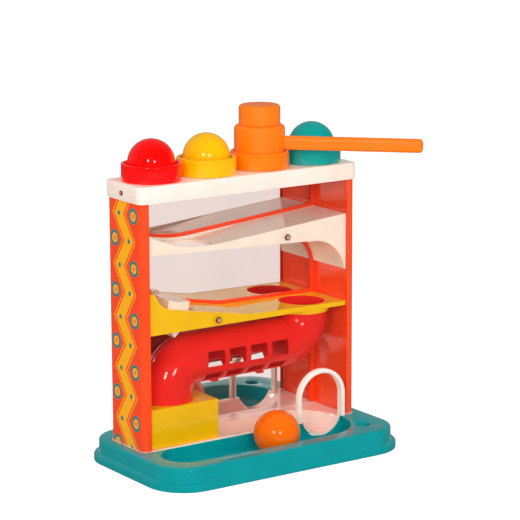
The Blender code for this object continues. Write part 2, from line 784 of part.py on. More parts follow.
def screw_boss(x, z):
    return rod(SCREW_BOSS_RADIUS, TRACK_SCREW_LENGTH, (x, TRACK_FRONT + BITE, z), (0, 1, 0), BORE_STEPS)


def screw_bore(x, z):
    start = (x, TRACK_FRONT - BITE, z)
    return bore_rod(TRACK_SCREW_LENGTH, start, (0, 1, 0))


def build_upper_track():
    stations = upper_stations()
    curb = [(x, upper_curb(x)) for x in stations]
    foot = upper_underside(TRACK_END - BAFFLE_RADIUS) - BAFFLE_RADIUS - BAFFLE_DROP
    under = [(TRACK_END, foot)]
    under += [(TRACK_END - BITE, foot)]
    under += list(reversed(baffle_arc(BAFFLE_RADIUS - BITE)))
    under += [(-TRACK_END, upper_underside(-TRACK_END))]
    flange = prism(curb + under, TRACK_FRONT, TRACK_FRONT + TRACK_FLANGE, "Y")
    track = finish("upper_track", flange, plastic("track_cream", CREAM, 0.22))
    inner = TRACK_FRONT + TRACK_FLANGE / 2
    floor = strip(upper_floor, stations, 0, TRACK_SHEET, inner, TRACK_REAR)
    join(track, tool_body("upper_floor", floor))
    rear = strip(upper_curb, stations, 0, CURB + TRACK_SHEET / 2, TRACK_REAR - TRACK_FLANGE, TRACK_REAR)
    join(track, tool_body("upper_rear_curb", rear))
    start = 90 + BAFFLE_OVERLAP
    sheet = baffle_arc(BAFFLE_RADIUS + TRACK_SHEET / 2, start)
    sheet += list(reversed(baffle_arc(BAFFLE_RADIUS - BITE * 2, start)))
    sheet = [(min(x, TRACK_END), z) for x, z in sheet]
    join(track, tool_body("baffle", prism(sheet, inner, TRACK_REAR, "Y")))
    ring_top = upper_floor(UPPER_HOLE_X) - TRACK_SHEET / 2
    start = (UPPER_HOLE_X, 0, ring_top - UPPER_COLLAR_DROP)
    collar = rod(HOLE_RADIUS + COLLAR_WALL, UPPER_COLLAR_DROP, start, (0, 0, 1), HOLE_STEPS)
    join(track, tool_body("upper_collar", collar))
    join(track, tool_body("upper_boss", screw_boss(UPPER_SCREW_X, UPPER_SCREW_Z)))
    start = (UPPER_HOLE_X, 0, ring_top - HOLE_CUTTER_BELOW)
    hole = rod(HOLE_RADIUS, HOLE_CUTTER, start, (0, 0, 1), HOLE_STEPS)
    cut(track, tool_body("upper_hole", hole))
    cut(track, tool_body("upper_bore", screw_bore(UPPER_SCREW_X, UPPER_SCREW_Z)))
    return track


def rocker_pivot():
    x = ROCKER_TIP_X + ROCKER_PIVOT_ABOVE_TIP * math.sin(ROCKER_LEAN)
    z = ROCKER_TIP_Z + ROCKER_PIVOT_ABOVE_TIP * math.cos(ROCKER_LEAN)
    return x, z


def rocker_shoulder():
    # How far the lower shoulder stands to the side of the pivot at either end of the swing.
    side = ROCKER_WIDTH / 2
    below = ROCKER_PIVOT_ABOVE_TIP - ROCKER_VEE
    return side * math.cos(ROCKER_LEAN) + below * math.sin(ROCKER_LEAN)


def build_lower_track():
    stations = lower_stations()
    curb = [(x, lower_curb(x)) for x in stations]
    outline = curb + [(TRACK_END, LOWER_UNDERSIDE), (-TRACK_END, LOWER_UNDERSIDE)]
    outline = [outline[0], (stations[1], LOWER_LEFT_TOP)] + outline[2:]
    flange = prism(outline, TRACK_FRONT, TRACK_FRONT + TRACK_FLANGE, "Y")
    track = finish("lower_track", flange, plastic("track_yellow", YELLOW, 0.2))
    inner = TRACK_FRONT + TRACK_FLANGE / 2
    floor_stations = stations[2:]
    floor = strip(lower_curb, floor_stations, CURB_LEAST, TRACK_SHEET, inner, TRACK_REAR)
    join(track, tool_body("lower_floor", floor))
    pivot_x, pivot_z = rocker_pivot()
    lug_y = ROCKER_DEPTH / 2 + 2 * MESH_GAP
    x = (pivot_x - LUG_RADIUS, pivot_x + LUG_RADIUS)
    z = (pivot_z - LUG_RADIUS, lower_curb(pivot_x) - CURB_LEAST - TRACK_SHEET / 2)
    for index, y in enumerate(((inner, -lug_y), (lug_y, lug_y + LUG_THICKNESS))):
        join(track, tool_body("lug_%d" % index, block(x, y, z)))
    reach = rocker_shoulder() + MESH_GAP
    for index, side in enumerate((-1, 1)):
        x = sorted((pivot_x + side * reach, pivot_x + side * (reach + STOP_RIB)))
        stop = block(x, (inner, TRACK_REAR), (LOWER_UNDERSIDE + MESH_GAP, pivot_z + MESH_GAP))
        join(track, tool_body("stop_%d" % index, stop))
    x = (pivot_x - reach - STOP_RIB, SLOT_RIGHT + STOP_RIB)
    z = (LOWER_UNDERSIDE + MESH_GAP, lower_curb(SLOT_RIGHT) - CURB_LEAST - TRACK_SHEET / 2)
    cheek = block(x, (TRACK_REAR - TRACK_FLANGE, TRACK_REAR), z)
    join(track, tool_body("rear_cheek", cheek))
    collar_top = lower_curb(LOWER_HOLE_X) - CURB_LEAST - TRACK_SHEET / 2
    start = (LOWER_HOLE_X, 0, LOWER_COLLAR_BOTTOM)
    height = collar_top - LOWER_COLLAR_BOTTOM
    collar = rod(HOLE_RADIUS + COLLAR_WALL, height, start, (0, 0, 1), HOLE_STEPS)
    join(track, tool_body("lower_collar", collar))
    join(track, tool_body("lower_boss", screw_boss(LOWER_SCREW_X, LOWER_SCREW_Z)))
    start = (LOWER_HOLE_X, 0, LOWER_COLLAR_BOTTOM - HOLE_CUTTER_BELOW)
    hole = rod(HOLE_RADIUS, HOLE_CUTTER, start, (0, 0, 1), HOLE_STEPS)
    cut(track, tool_body("lower_hole", hole))
    slot = block((SLOT_LEFT, SLOT_RIGHT), (-lug_y, lug_y), (pivot_z + SLOT_ABOVE_PIN, LOWER_LEFT_TOP))
    cut(track, tool_body("rocker_slot", slot))
    start = (pivot_x, -lug_y - LUG_THICKNESS, pivot_z)
    pin = rod(PIN_RADIUS + MESH_GAP, ROCKER_DEPTH + 4 * LUG_THICKNESS, start, (0, 1, 0), BORE_STEPS)
    cut(track, tool_body("pin_holes", pin))
    cut(track, tool_body("lower_bore", screw_bore(LOWER_SCREW_X, LOWER_SCREW_Z)))
    return track


def build_rocker():
    pivot_x, pivot_z = rocker_pivot()
    half = ROCKER_WIDTH / 2
    base = -ROCKER_PIVOT_ABOVE_TIP
    top = ROCKER_HEIGHT + base
    outline = [(0, base), (half, base + ROCKER_VEE), (half, top)]
    for step in range(1, CURVE_STEPS):
        share = 1 - 2 * step / CURVE_STEPS
        outline.append((half * share, top - ROCKER_DISH * (1 - share * share)))
    outline += [(-half, top), (-half, base + ROCKER_VEE)]
    body = prism(outline, -ROCKER_DEPTH / 2, ROCKER_DEPTH / 2, "Y")
    rocker = finish("rocker", body, plastic("rocker_cream", CREAM, 0.24), (pivot_x, 0, pivot_z))
    rocker.rotation_euler = (0, ROCKER_LEAN, 0)
    start = (pivot_x, -ROCKER_DEPTH, pivot_z)
    bore = rod(PIN_RADIUS + PIN_CLEARANCE, ROCKER_DEPTH * 2, start, (0, 1, 0), BORE_STEPS)
    cut(rocker, tool_body("rocker_bore", bore))
    reach = ROCKER_DEPTH / 2 + 2 * MESH_GAP + LUG_THICKNESS - PIN_INSET
    pin = rod(PIN_RADIUS, reach * 2, (pivot_x, -reach, pivot_z), (0, 1, 0), BORE_STEPS)
    finish("rocker_pin", pin, plastic("pin_steel", STEEL, 0.3, 1.0))
    return rocker


# Tube and exit box

def tube_path():
    inlet = LOWER_COLLAR_BOTTOM - MESH_GAP
    high = TUBE_HEIGHT + TUBE_FALL / 2
    low = TUBE_HEIGHT - TUBE_FALL / 2
    right = (LOWER_HOLE_X - TUBE_INLET_BEND, high + TUBE_INLET_BEND)
    left = (TUBE_OUTLET_X + TUBE_BEND, low - TUBE_BEND)
    path = [(LOWER_HOLE_X, inlet)]
    path += arc(right, TUBE_INLET_BEND, 0, -90, BEND_STEPS)
    path += arc(left, TUBE_BEND, 90, 180, BEND_STEPS)
    path.append((TUBE_OUTLET_X, BOX_TOP + MESH_GAP))
    return [(x, 0, z) for x, z in path]


def tube_window_tools():
    tools = []
    shapes = ((SIDE_WINDOW_ANGLE, SIDE_WINDOW_HEIGHT), (LOW_WINDOW_ANGLE, LOW_WINDOW_HEIGHT))
    for column in range(TUBE_WINDOWS):
        start = TUBE_WINDOW_START + column * TUBE_WINDOW_PITCH
        for angle, height in shapes:
            x = (start, start + TUBE_WINDOW_LENGTH)
            shape = block(x, (-TUBE_RADIUS - WALL, -TUBE_RADIUS / 2), (-height / 2, height / 2))
            place = Matrix.Translation((0, 0, TUBE_HEIGHT)) @ Matrix.Rotation(-angle, 4, "X")
            bmesh.ops.transform(shape, matrix=place, verts=shape.verts)
            tools.append(shape)
    return tools


def build_tube_half(name, side):
    inner = TUBE_RADIUS - TUBE_WALL
    steps = TUBE_SECTION_STEPS
    skew = MESH_GAP / 2
    outer_arc = arc((0, 0), TUBE_RADIUS, -90, 90, steps)
    inner_arc = arc((0, 0), inner, 90, -90, steps)
    section = [(side * (max(x, 0) + skew), y) for x, y in outer_arc + inner_arc]
    half = finish(name, swept(section, tube_path(), (0, 1, 0)), plastic("tube_red", RED, 0.12))
    tool = tool_body(name + "_windows", merged(tube_window_tools()))
    if side > 0:
        tool.scale = (1, -1, 1)
    cut(half, tool)
    # Clip tabs under the seam.
    y = sorted((side * skew, side * (skew + TAB_THICKNESS)))
    bottom = TUBE_HEIGHT - TUBE_RADIUS
    tabs = []
    for centre in TAB_CENTRES:
        x = (centre - TAB_LENGTH / 2, centre + TAB_LENGTH / 2)
        tabs.append(block(x, y, (bottom - TAB_DROP, bottom + TUBE_WALL)))
    join(half, tool_body(name + "_tabs", merged(tabs)))
    return half


def build_exit_box():
    left = -PANEL_INNER + MESH_GAP
    front = WINDOW_FRONT + SHEET + MESH_GAP
    rear = MIRROR_FACE - RAIL_THICKNESS - 2 * MESH_GAP
    body = block((left, BOX_RIGHT), (front, rear), (PANEL_BOTTOM, BOX_TOP))
    box = finish("exit_box", body, plastic("box_yellow", YELLOW, 0.2))
    room = block(
        (left + BOX_WALL, BOX_RIGHT + BOX_WALL), (front + BOX_WALL, rear - BOX_WALL),
        (PANEL_BOTTOM - BOX_WALL, BOX_TOP - BOX_WALL),
    )
    cut(box, tool_body("box_room", room))
    start = (TUBE_OUTLET_X, 0, BOX_TOP - BOX_WALL * 2)
    hole = rod(BOX_HOLE_RADIUS, BOX_WALL * 4, start, (0, 0, 1), HOLE_STEPS)
    cut(box, tool_body("box_hole", hole))
    return box


def build_arch():
    # A rounded rail on the face of the window, with a sleeve through the cut-out.
    front = -TOWER_DEPTH / 2 - ARCH_PROUD + WINDOW_SETBACK
    face = WINDOW_FRONT - MESH_GAP
    rear = WINDOW_FRONT + SHEET + 2 * MESH_GAP
    soft = ARCH_ROUNDING
    section = [(face, ARCH_RAIL)]
    section += arc((front + soft, ARCH_RAIL - soft), soft, 90, 180, SOFT_STEPS)
    section += arc((front + soft, soft), soft, 180, 270, SOFT_STEPS)
    section += [(rear, 0), (rear, ARCH_SLEEVE), (face, ARCH_SLEEVE)]
    radius = ARCH_RADIUS - ARCH_RAIL
    path = [(ARCH_X - radius, PANEL_BOTTOM - MESH_GAP)]
    path += arc((ARCH_X, ARCH_SPRING), radius, 180, 0, ARCH_STEPS)
    path.append((ARCH_X + radius, PANEL_BOTTOM - MESH_GAP))
    shape = swept(section, [(x, 0, z) for x, z in path], (0, 1, 0))
    return finish("arch_frame", shape, plastic("arch_cream", CREAM, 0.24))


# Top bar and cups

def cup_x(colour):
    middle = (len(CUP_COLOURS) - 1) / 2
    return (CUP_COLOURS.index(colour) - middle) * CUP_PITCH


def build_top_bar():
    def outline(inset):
        length = TOWER_LENGTH + 2 * (MESH_GAP + BAR_SKIN)
        depth = TOWER_DEPTH + 2 * (MESH_GAP + BAR_SKIN)
        corner = TOWER_CORNER + BAR_SKIN
        return rounded_rectangle(length - 2 * inset, depth - 2 * inset, corner - inset)

    bottom = BAR_TOP - BAR_HEIGHT
    outside = [(0, bottom)] + rounded_edge(0, BAR_TOP, BAR_EDGE, SOFT_STEPS)
    bar = finish("top_bar", stacked(outline, outside), plastic("bar_cream", CREAM, 0.24))
    hollow = [(BAR_SKIN, bottom - BITE), (BAR_SKIN, BAR_TOP - BAR_PLATE)]
    cut(bar, tool_body("bar_hollow", stacked(outline, hollow)))
    holes = []
    for colour in CUP_COLOURS:
        start = (cup_x(colour), 0, BAR_TOP - BAR_PLATE * 2)
        radius = CUP_THROAT_RADIUS + CUP_SPIGOT_WALL + MESH_GAP
        holes.append(rod(radius, BAR_PLATE * 4, start, (0, 0, 1), CUP_STEPS))
    cut(bar, tool_body("cup_holes", merged(holes)))
    ends = []
    for side in (-1, 1):
        start = (side * TOWER_LENGTH, 0, BAR_SCREW_HEIGHT)
        ends.append(bore_rod(TOWER_LENGTH, start, (-side, 0, 0)))
    for index, end in enumerate(ends):
        cut(bar, tool_body("bar_end_%d" % index, end))
    return bar


def build_cup(colour, material):
    base = BAR_TOP + MESH_GAP
    ledge = RING_TOP - RING_THICKNESS - MESH_GAP
    spigot = CUP_THROAT_RADIUS + CUP_SPIGOT_WALL
    low = BAR_TOP - BAR_PLATE
    profile = [
        (CUP_RADIUS, base), (CUP_RADIUS, CUP_RIM - CUP_EDGE), (CUP_RADIUS - CUP_EDGE, CUP_RIM),
        (CUP_MOUTH_RADIUS + CUP_INNER_EDGE, CUP_RIM), (CUP_MOUTH_RADIUS, CUP_RIM - CUP_INNER_EDGE),
        (CUP_MOUTH_RADIUS, ledge), (CUP_THROAT_RADIUS, ledge), (CUP_THROAT_RADIUS, low), (spigot, low),
        (spigot, base),
    ]
    place = (cup_x(colour), 0, 0)
    return finish("cup_" + colour, turned(profile, CUP_STEPS), material, place)


def build_retainer(colour, material):
    # A soft ring that holds the ball until it is pounded through.
    outer = CUP_MOUTH_RADIUS - MESH_GAP
    low = RING_TOP - RING_THICKNESS
    profile = [
        (outer, low), (outer, RING_TOP), (RING_HOLE_RADIUS + RING_SLANT, RING_TOP),
        (RING_HOLE_RADIUS, low),
    ]
    place = (cup_x(colour), 0, 0)
    return finish("retainer_" + colour, turned(profile, CUP_STEPS), material, place)


def build_ball(name, centre, material):
    bm = bmesh.new()
    bmesh.ops.create_uvsphere(
        bm, u_segments=BALL_SEGMENTS, v_segments=BALL_RINGS, radius=BALL_RADIUS
    )
    return finish(name, bm, material, centre)


# Hammer

def hammer_seat():
    # The barrel's rounded end drops a little way into the ring's hole.
    over = RING_HOLE_RADIUS + RING_SLANT - (BARREL_RADIUS - BARREL_ROUNDING)
    sink = BARREL_ROUNDING - math.sqrt(BARREL_ROUNDING ** 2 - over ** 2)
    return RING_TOP - sink + 2 * MESH_GAP


def corner_arc(radius, height, rounding, start, end):
    # A rounded corner of a turned profile, centred at (radius, height) less the rounding.
    return arc((radius - rounding, height), rounding, start, end, EDGE_STEPS)


def build_handle(place):
    heading = Matrix.Rotation(HAMMER_HEADING, 4, "Z")
    size = (HANDLE_WIDTH, HANDLE_HEIGHT, HANDLE_ROUNDING)
    stations = [(0, BARREL_RADIUS / 2)]
    stations += rounded_edge(0, HANDLE_REACH, HANDLE_ROUNDING, SOFT_STEPS)
    rings = []
    for inset, reach in stations:
        shrink = 1 - inset / (HANDLE_HEIGHT / 2)
        ring = [(reach, y * shrink, HANDLE_LEVEL + z * shrink) for y, z in rounded_rectangle(*size)]
        rings.append([heading @ Vector(point) for point in ring])
    return tool_body("handle", lofted(rings), place)


def build_hammer():
    place = (cup_x(HAMMER_CUP), 0, hammer_seat())
    top = BARREL_LENGTH
    orange = plastic("hammer_orange", ORANGE, 0.3)
    profile = [(0, 0)]
    profile += corner_arc(BARREL_RADIUS, BARREL_ROUNDING, BARREL_ROUNDING, -90, 0)
    profile += corner_arc(BARREL_RADIUS, top - BARREL_ROUNDING, BARREL_ROUNDING, 0, 90)
    profile.append((0, top))
    barrel = finish("hammer_barrel", turned(profile), orange, place)
    join(barrel, build_handle(place))
    sockets = []
    depth = TIP_TENON + 2 * MESH_GAP
    for low in (-BITE, top - depth):
        radius = TIP_TENON_RADIUS + MESH_GAP
        sockets.append(rod(radius, depth + BITE, (0, 0, low), (0, 0, 1), TENON_STEPS))
    cut(barrel, tool_body("tenon_sockets", merged(sockets), place))
    tip = [(0, -TIP_LENGTH)]
    tip += corner_arc(TIP_RADIUS, TIP_ROUNDING - TIP_LENGTH, TIP_ROUNDING, -90, 0)
    tip += [
        (TIP_RADIUS, -MESH_GAP), (TIP_TENON_RADIUS, -MESH_GAP), (TIP_TENON_RADIUS, TIP_TENON),
        (0, TIP_TENON),
    ]
    finish("hammer_tip", turned(tip, CUP_STEPS), plastic("tip_cream", CREAM, 0.35), place)
    cap = [
        (0, top - TIP_TENON), (TIP_TENON_RADIUS, top - TIP_TENON),
        (TIP_TENON_RADIUS, top + MESH_GAP), (CAP_RADIUS, top + MESH_GAP),
    ]
    cap += corner_arc(CAP_RADIUS, top + CAP_LENGTH - CAP_ROUNDING, CAP_ROUNDING, 0, 90)
    cap.append((0, top + CAP_LENGTH))
    finish("hammer_cap", turned(cap, CUP_STEPS), orange, place)


# Screws

def build_screws():
    steel = plastic("screw_steel", STEEL, 0.3, 1.0)
    places = (("upper", UPPER_SCREW_X, UPPER_SCREW_Z), ("lower", LOWER_SCREW_X, LOWER_SCREW_Z))
    for name, x, z in places:
        start = (x, WINDOW_FRONT - MESH_GAP, z)
        length = TRACK_SCREW_LENGTH * SCREW_DEPTH_SHARE
        finish("track_screw_" + name, screw(length, start, (0, 1, 0)), steel)
    face = TOWER_LENGTH / 2 + 2 * MESH_GAP + BAR_SKIN
    for name, side in (("left", -1), ("right", 1)):
        start = (side * face, 0, BAR_SCREW_HEIGHT)
        finish("bar_screw_" + name, screw(BAR_SCREW_LENGTH, start, (-side, 0, 0), BAR_SCREW_HEAD_RADIUS), steel)
    for end, x in (("left", -1), ("right", 1)):
        for edge, y in (("front", -1), ("rear", 1)):
            start = (x * screw_column(), y * BASE_SCREW_Y, BASE_SCREW_SEAT - MESH_GAP)
            finish("base_screw_%s_%s" % (end, edge), screw(BASE_SCREW_LENGTH, start, (0, 0, 1)), steel)


def centre_on_origin():
    # The footprint's middle, hammer handle included, goes over the origin.
    bpy.context.view_layer.update()
    low = Vector((math.inf, math.inf))
    high = Vector((-math.inf, -math.inf))
    for body in bpy.data.objects:
        if body.hide_render:
            continue
        for corner in body.bound_box:
            point = body.matrix_world @ Vector(corner)
            low = Vector(map(min, low, point.xy))
            high = Vector(map(max, high, point.xy))
    middle = (low + high) / 2
    for body in bpy.data.objects:
        body.location.x -= middle.x
        body.location.y -= middle.y
    bpy.context.view_layer.update()


def build():
    clear_scene()
    build_base()
    build_floor()
    build_end_panel("left_end_panel", -1)
    build_end_panel("right_end_panel", 1)
    build_window()
    build_mirror()
    build_back_frame()
    build_upper_track()
    build_lower_track()
    build_rocker()
    build_tube_half("tube_front_half", -1)
    build_tube_half("tube_rear_half", 1)
    build_exit_box()
    build_arch()
    build_top_bar()
    shades = {"red": RED, "yellow": YELLOW, "orange": ORANGE, "teal": TEAL}
    for colour in CUP_COLOURS:
        shade = shades[colour]
        build_cup(colour, plastic("cup_" + colour, shade, 0.12))
        build_retainer(colour, plastic("retainer_" + colour, shade, 0.4))
        centre = (cup_x(colour), 0, CUP_RIM)
        if colour == HAMMER_CUP:
            centre = (TROUGH_BALL_X, TROUGH_BALL_Y, TROUGH_FLOOR + MESH_GAP + BALL_RADIUS)
        build_ball("ball_" + colour, centre, plastic("ball_" + colour, shade, 0.08))
    build_hammer()
    build_screws()
    centre_on_origin()


build()
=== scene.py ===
# Looks of the ball pounding bench: smooth moulded pieces, clear window, mirror back, plain
# studio light and the photograph's camera. Lengths are in metres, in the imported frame.

import math

import bmesh
import bpy
from mathutils import Matrix, Vector


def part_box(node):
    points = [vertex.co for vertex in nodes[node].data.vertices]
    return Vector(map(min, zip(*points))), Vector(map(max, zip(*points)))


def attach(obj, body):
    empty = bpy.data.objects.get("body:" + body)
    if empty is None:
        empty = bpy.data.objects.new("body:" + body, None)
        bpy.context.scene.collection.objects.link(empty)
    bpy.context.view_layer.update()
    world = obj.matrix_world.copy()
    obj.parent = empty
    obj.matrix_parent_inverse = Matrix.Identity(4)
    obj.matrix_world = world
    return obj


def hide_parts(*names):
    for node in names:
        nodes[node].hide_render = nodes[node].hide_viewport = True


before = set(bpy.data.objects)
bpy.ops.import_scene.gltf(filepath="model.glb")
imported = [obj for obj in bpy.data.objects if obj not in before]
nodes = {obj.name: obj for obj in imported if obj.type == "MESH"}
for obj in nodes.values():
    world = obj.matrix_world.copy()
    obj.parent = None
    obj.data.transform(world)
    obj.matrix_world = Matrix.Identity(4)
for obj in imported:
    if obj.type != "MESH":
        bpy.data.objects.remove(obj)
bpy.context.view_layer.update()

bar_low, bar_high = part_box("top_bar")
TOWER_PLACE = Vector(((bar_low.x + bar_high.x) / 2, (bar_low.y + bar_high.y) / 2, 0))

# Gaps and skins
MESH_GAP = 0.0003
BITE = 0.0004
SAME_POINT = 1e-6
SHEET = 0.0012
WALL = 0.0022

# Ball, which every passage in the toy follows
BALL_DIAMETER = 0.045
BALL_RADIUS = BALL_DIAMETER / 2

# Base moulding
BASE_LENGTH = 0.277
BASE_DEPTH = 0.168
BASE_CORNER = 0.0395
BASE_HEIGHT = 0.0221
BASE_FORWARD = 0.0196
BASE_TIER_HEIGHT = 0.0073
BASE_TIER_STEP = 0.005
BASE_TIER_EDGE = 0.0016
BASE_TIER_FILLET = 0.0012
BASE_FOOT_BEVEL = 0.0007
BASE_EDGE = 0.0028
BASE_LIP = 0.0012
BASE_WALL = 0.0024

# Trough in front of the tower, and the round hole beside it
TROUGH_LEFT_CENTRE = -0.0913
TROUGH_RIGHT_CENTRE = 0.056
TROUGH_REAR = -0.032
TROUGH_WIDTH = 0.0492
TROUGH_FLOOR = 0.0027
TROUGH_FILLET = 0.006
TROUGH_SKIN = 0.0021
TROUGH_CORNER_SHARE = 0.3
SOCKET_X = 0.1048
SOCKET_Y = -0.0688
SOCKET_RADIUS = 0.0070
SOCKET_WALL = 0.002
SOCKET_ROUNDING = 0.0008

# Tower
TOWER_LENGTH = 0.2453
TOWER_DEPTH = 0.0604
TOWER_CORNER = 0.006
PANEL_THICKNESS = 0.00765
WINDOW_SETBACK = 0.0016

# Floor with its channel
FLOOR_THICKNESS = 0.0010
FLOOR_LEDGE = 0.0009
FLOOR_SINK = 0.0011
CHANNEL_RADIUS = 0.022
CHANNEL_Y = -0.003
CHANNEL_START = -0.081
CHANNEL_EXIT_X = 0.0805
CHANNEL_LOW = 0.0082

# Top bar
BAR_TOP = 0.2746
BAR_HEIGHT = 0.0162
BAR_SKIN = 0.0016
BAR_PLATE = 0.0024
BAR_EDGE = 0.0018

# Cups
CUP_PITCH = 0.0612
CUP_RADIUS = 0.0285
CUP_HEIGHT = 0.0164
CUP_MOUTH_RADIUS = 0.0254
CUP_THROAT_RADIUS = 0.0236
CUP_SPIGOT_WALL = 0.0022
RING_BELOW_RIM = 0.0048
RING_THICKNESS = 0.0016
RING_HOLE_RADIUS = 0.0219
RING_SLANT = 0.0004

# Tracks: their face beside the window, and the hole at the lower one's right end
TRACK_FRONT = -0.0269
LOWER_UNDERSIDE = 0.1325
LOWER_HOLE_X = 0.080
LOWER_COLLAR_BOTTOM = 0.1298

# Where the seen shape differs from the solids: the baffle ends higher, the lower track's flange
# is lower at its left end, a skirt stands round that track's collar with the tube's neck inside
# it, and the end boards have beads on their inner faces
BAFFLE_FOOT = 0.1690
FLANGE_END_X = -0.1050
FLANGE_END_DEPTH = 0.0040
FLANGE_END_TOP = 0.1722
FLANGE_ABOVE = 0.2000
SKIRT_START = 155
SKIRT_END = 385
SKIRT_RADIUS = 0.0268
SKIRT_BORE = 0.0255
SKIRT_BOTTOM = 0.1283
SKIRT_TOP = 0.1357
NECK_RADIUS = 0.0231
NECK_BORE = 0.02275
NECK_TOP = 0.1364
NECK_SHOULDER = 0.0012
BEAD_WIDTH = 0.0008
BEAD_HEIGHT = 0.0004
BEAD_FRONT = -0.0235
BEAD_REAR = 0.0192
BEAD_LEVELS = ((0.0226, 0.1270), (0.1383, 0.1622), (0.2290, 0.2570))

# Bent tube
TUBE_RADIUS = 0.0252
TUBE_WALL = 0.0014
TUBE_BEND = 0.028
TUBE_INLET_BEND = 0.0262
TUBE_HEIGHT = 0.0988
TUBE_FALL = 0.0012
TUBE_OUTLET_X = -0.078
TUBE_WINDOW_START = -0.0462
TUBE_WINDOW_PITCH = 0.0246
TUBE_WINDOW_LENGTH = 0.0192
TUBE_WINDOWS = 4
TAB_CENTRES = (-0.0235, 0.0295)
TAB_LENGTH = 0.007
TAB_THICKNESS = 0.0022
TAB_DROP = 0.003
SIDE_WINDOW_ANGLE = math.radians(2)
SIDE_WINDOW_HEIGHT = 0.0148
LOW_WINDOW_ANGLE = math.radians(-47)
LOW_WINDOW_HEIGHT = 0.0126

# Exit box under the tube
BOX_TOP = 0.0608

# Arch on the window
ARCH_X = 0.0807
ARCH_RADIUS = 0.0283
ARCH_RAIL = 0.0044
ARCH_PROUD = 0.0058
ARCH_SPRING = 0.0453
ARCH_SLEEVE = 0.0016
ARCH_ROUNDING = 0.0016

# Screws
SCREW_RADIUS = 0.0014
SCREW_HEAD_RADIUS = 0.0030
SCREW_HEAD_HEIGHT = 0.0016
BAR_SCREW_HEAD_RADIUS = 0.0023
SCREW_CLEARANCE = 0.0004
SCREW_BOSS_RADIUS = 0.0034
SCREW_RIM_SHARE = 0.55
SCREW_SHADE_SHARE = 0.66
SLOT_REACH_SHARE = 0.62
SLOT_WIDTH_SHARE = 0.13
SLOT_TOP_SHARE = 1.2
SLOT_FLOOR_SHARE = 0.45
BAR_SCREW_HEIGHT = 0.2657
BASE_SCREW_Y = 0.0150
BASE_SCREW_SEAT = 0.006

# Hammer
HAMMER_CUP = 2
HAMMER_HEADING = math.radians(-45)
BARREL_RADIUS = 0.0246
BARREL_LENGTH = 0.030
BARREL_ROUNDING = 0.0045
TIP_RADIUS = 0.0197
TIP_LENGTH = 0.020
TIP_ROUNDING = 0.0040
TIP_TENON_RADIUS = 0.012
TIP_TENON = 0.008
CAP_RADIUS = 0.0200
CAP_LENGTH = 0.019
CAP_ROUNDING = 0.0030
HANDLE_HEIGHT = 0.0132
HANDLE_WIDTH = 0.0092
HANDLE_ROUNDING = 0.0036
HANDLE_LEVEL = 0.0126
HANDLE_REACH = 0.1575

# Loose ball
TROUGH_BALL_X = 0.0110
TROUGH_BALL_Y = -0.056

# Facets round one turn or along one curve, finer than the solids'
ROUND_STEPS = 96
CUP_STEPS = 96
ROD_STEPS = 24
PIPE_STEPS = 24
ARCH_STEPS = 40
EDGE_STEPS = 6
CORNER_STEPS = 20
HOLE_STEPS = 64
BEND_STEPS = 18
TUBE_SECTION_STEPS = 32
SCREW_STEPS = 32

# Edges and their softness; faces that meet at less than the smooth angle are shaded as one
SMOOTH_ANGLE = math.radians(32)
FACET_ANGLE = math.radians(1.0)
SOFT_ANGLE = math.radians(40)
TUBE_SOFT_ANGLE = math.radians(50)
TUBE_SEAM = 0.0003
TUBE_SOFTNESS = 0.00022
TUBE_WINDOW_CORNER = 0.0008
TAB_CORNER = 0.0006
BAR_SOFTNESS = 0.0005
WELD_GROOVE = 0.00008
WELD_SHARE = 0.004

# Places worked out from the sizes above
PANEL_INNER = TOWER_LENGTH / 2 - PANEL_THICKNESS
FLOOR_BOTTOM = BASE_HEIGHT - FLOOR_SINK + MESH_GAP
FLOOR_TOP = FLOOR_BOTTOM + FLOOR_THICKNESS
PANEL_BOTTOM = FLOOR_TOP + MESH_GAP
WINDOW_FRONT = -TOWER_DEPTH / 2 + WINDOW_SETBACK
CUP_RIM = BAR_TOP + MESH_GAP + CUP_HEIGHT
RING_TOP = CUP_RIM - RING_BELOW_RIM
CHANNEL_RISE = CHANNEL_LOW + CHANNEL_RADIUS
SCREW_COLUMN = TOWER_LENGTH / 2 - PANEL_THICKNESS / 2

ALONG = (0, 1, 0)
UP = (0, 0, 1)


# Shapes

def smooth(mesh):
    mesh.shade_smooth()
    mesh.set_sharp_from_angle(angle=SMOOTH_ANGLE)


def new_body(name, data):
    made = bpy.data.objects.new(name, data)
    bpy.context.scene.collection.objects.link(made)
    return made


def piece(name, bm, body, node, material, place=(0, 0, 0)):
    # A finished piece that stands for a CAD node, with its place in its mesh.
    bmesh.ops.recalc_face_normals(bm, faces=bm.faces)
    bmesh.ops.translate(bm, vec=TOWER_PLACE + Vector(place), verts=bm.verts)
    mesh = bpy.data.meshes.new(name)
    bm.to_mesh(mesh)
    bm.free()
    smooth(mesh)
    made = new_body(name, mesh)
    mesh.materials.append(material)
    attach(made, body)
    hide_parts(node)
    return made


def bake(body):
    # The body's modifiers become its mesh.
    bpy.context.view_layer.update()
    graph = bpy.context.evaluated_depsgraph_get()
    mesh = bpy.data.meshes.new_from_object(body.evaluated_get(graph))
    body.modifiers.clear()
    body.data = mesh


def break_edges(body, width, angle):
    # Sharp edges get a narrow bevel, as a mould leaves them.
    bevel = body.modifiers.new("edges", "BEVEL")
    bevel.width = width
    bevel.segments = 2
    bevel.limit_method = "ANGLE"
    bevel.angle_limit = angle
    bake(body)
    smooth(body.data)


def weigh_normals(body):
    # Flat faces keep their own shading right up to their softened edges.
    weighted = body.modifiers.new("normals", "WEIGHTED_NORMAL")
    weighted.keep_sharp = True
    bake(body)


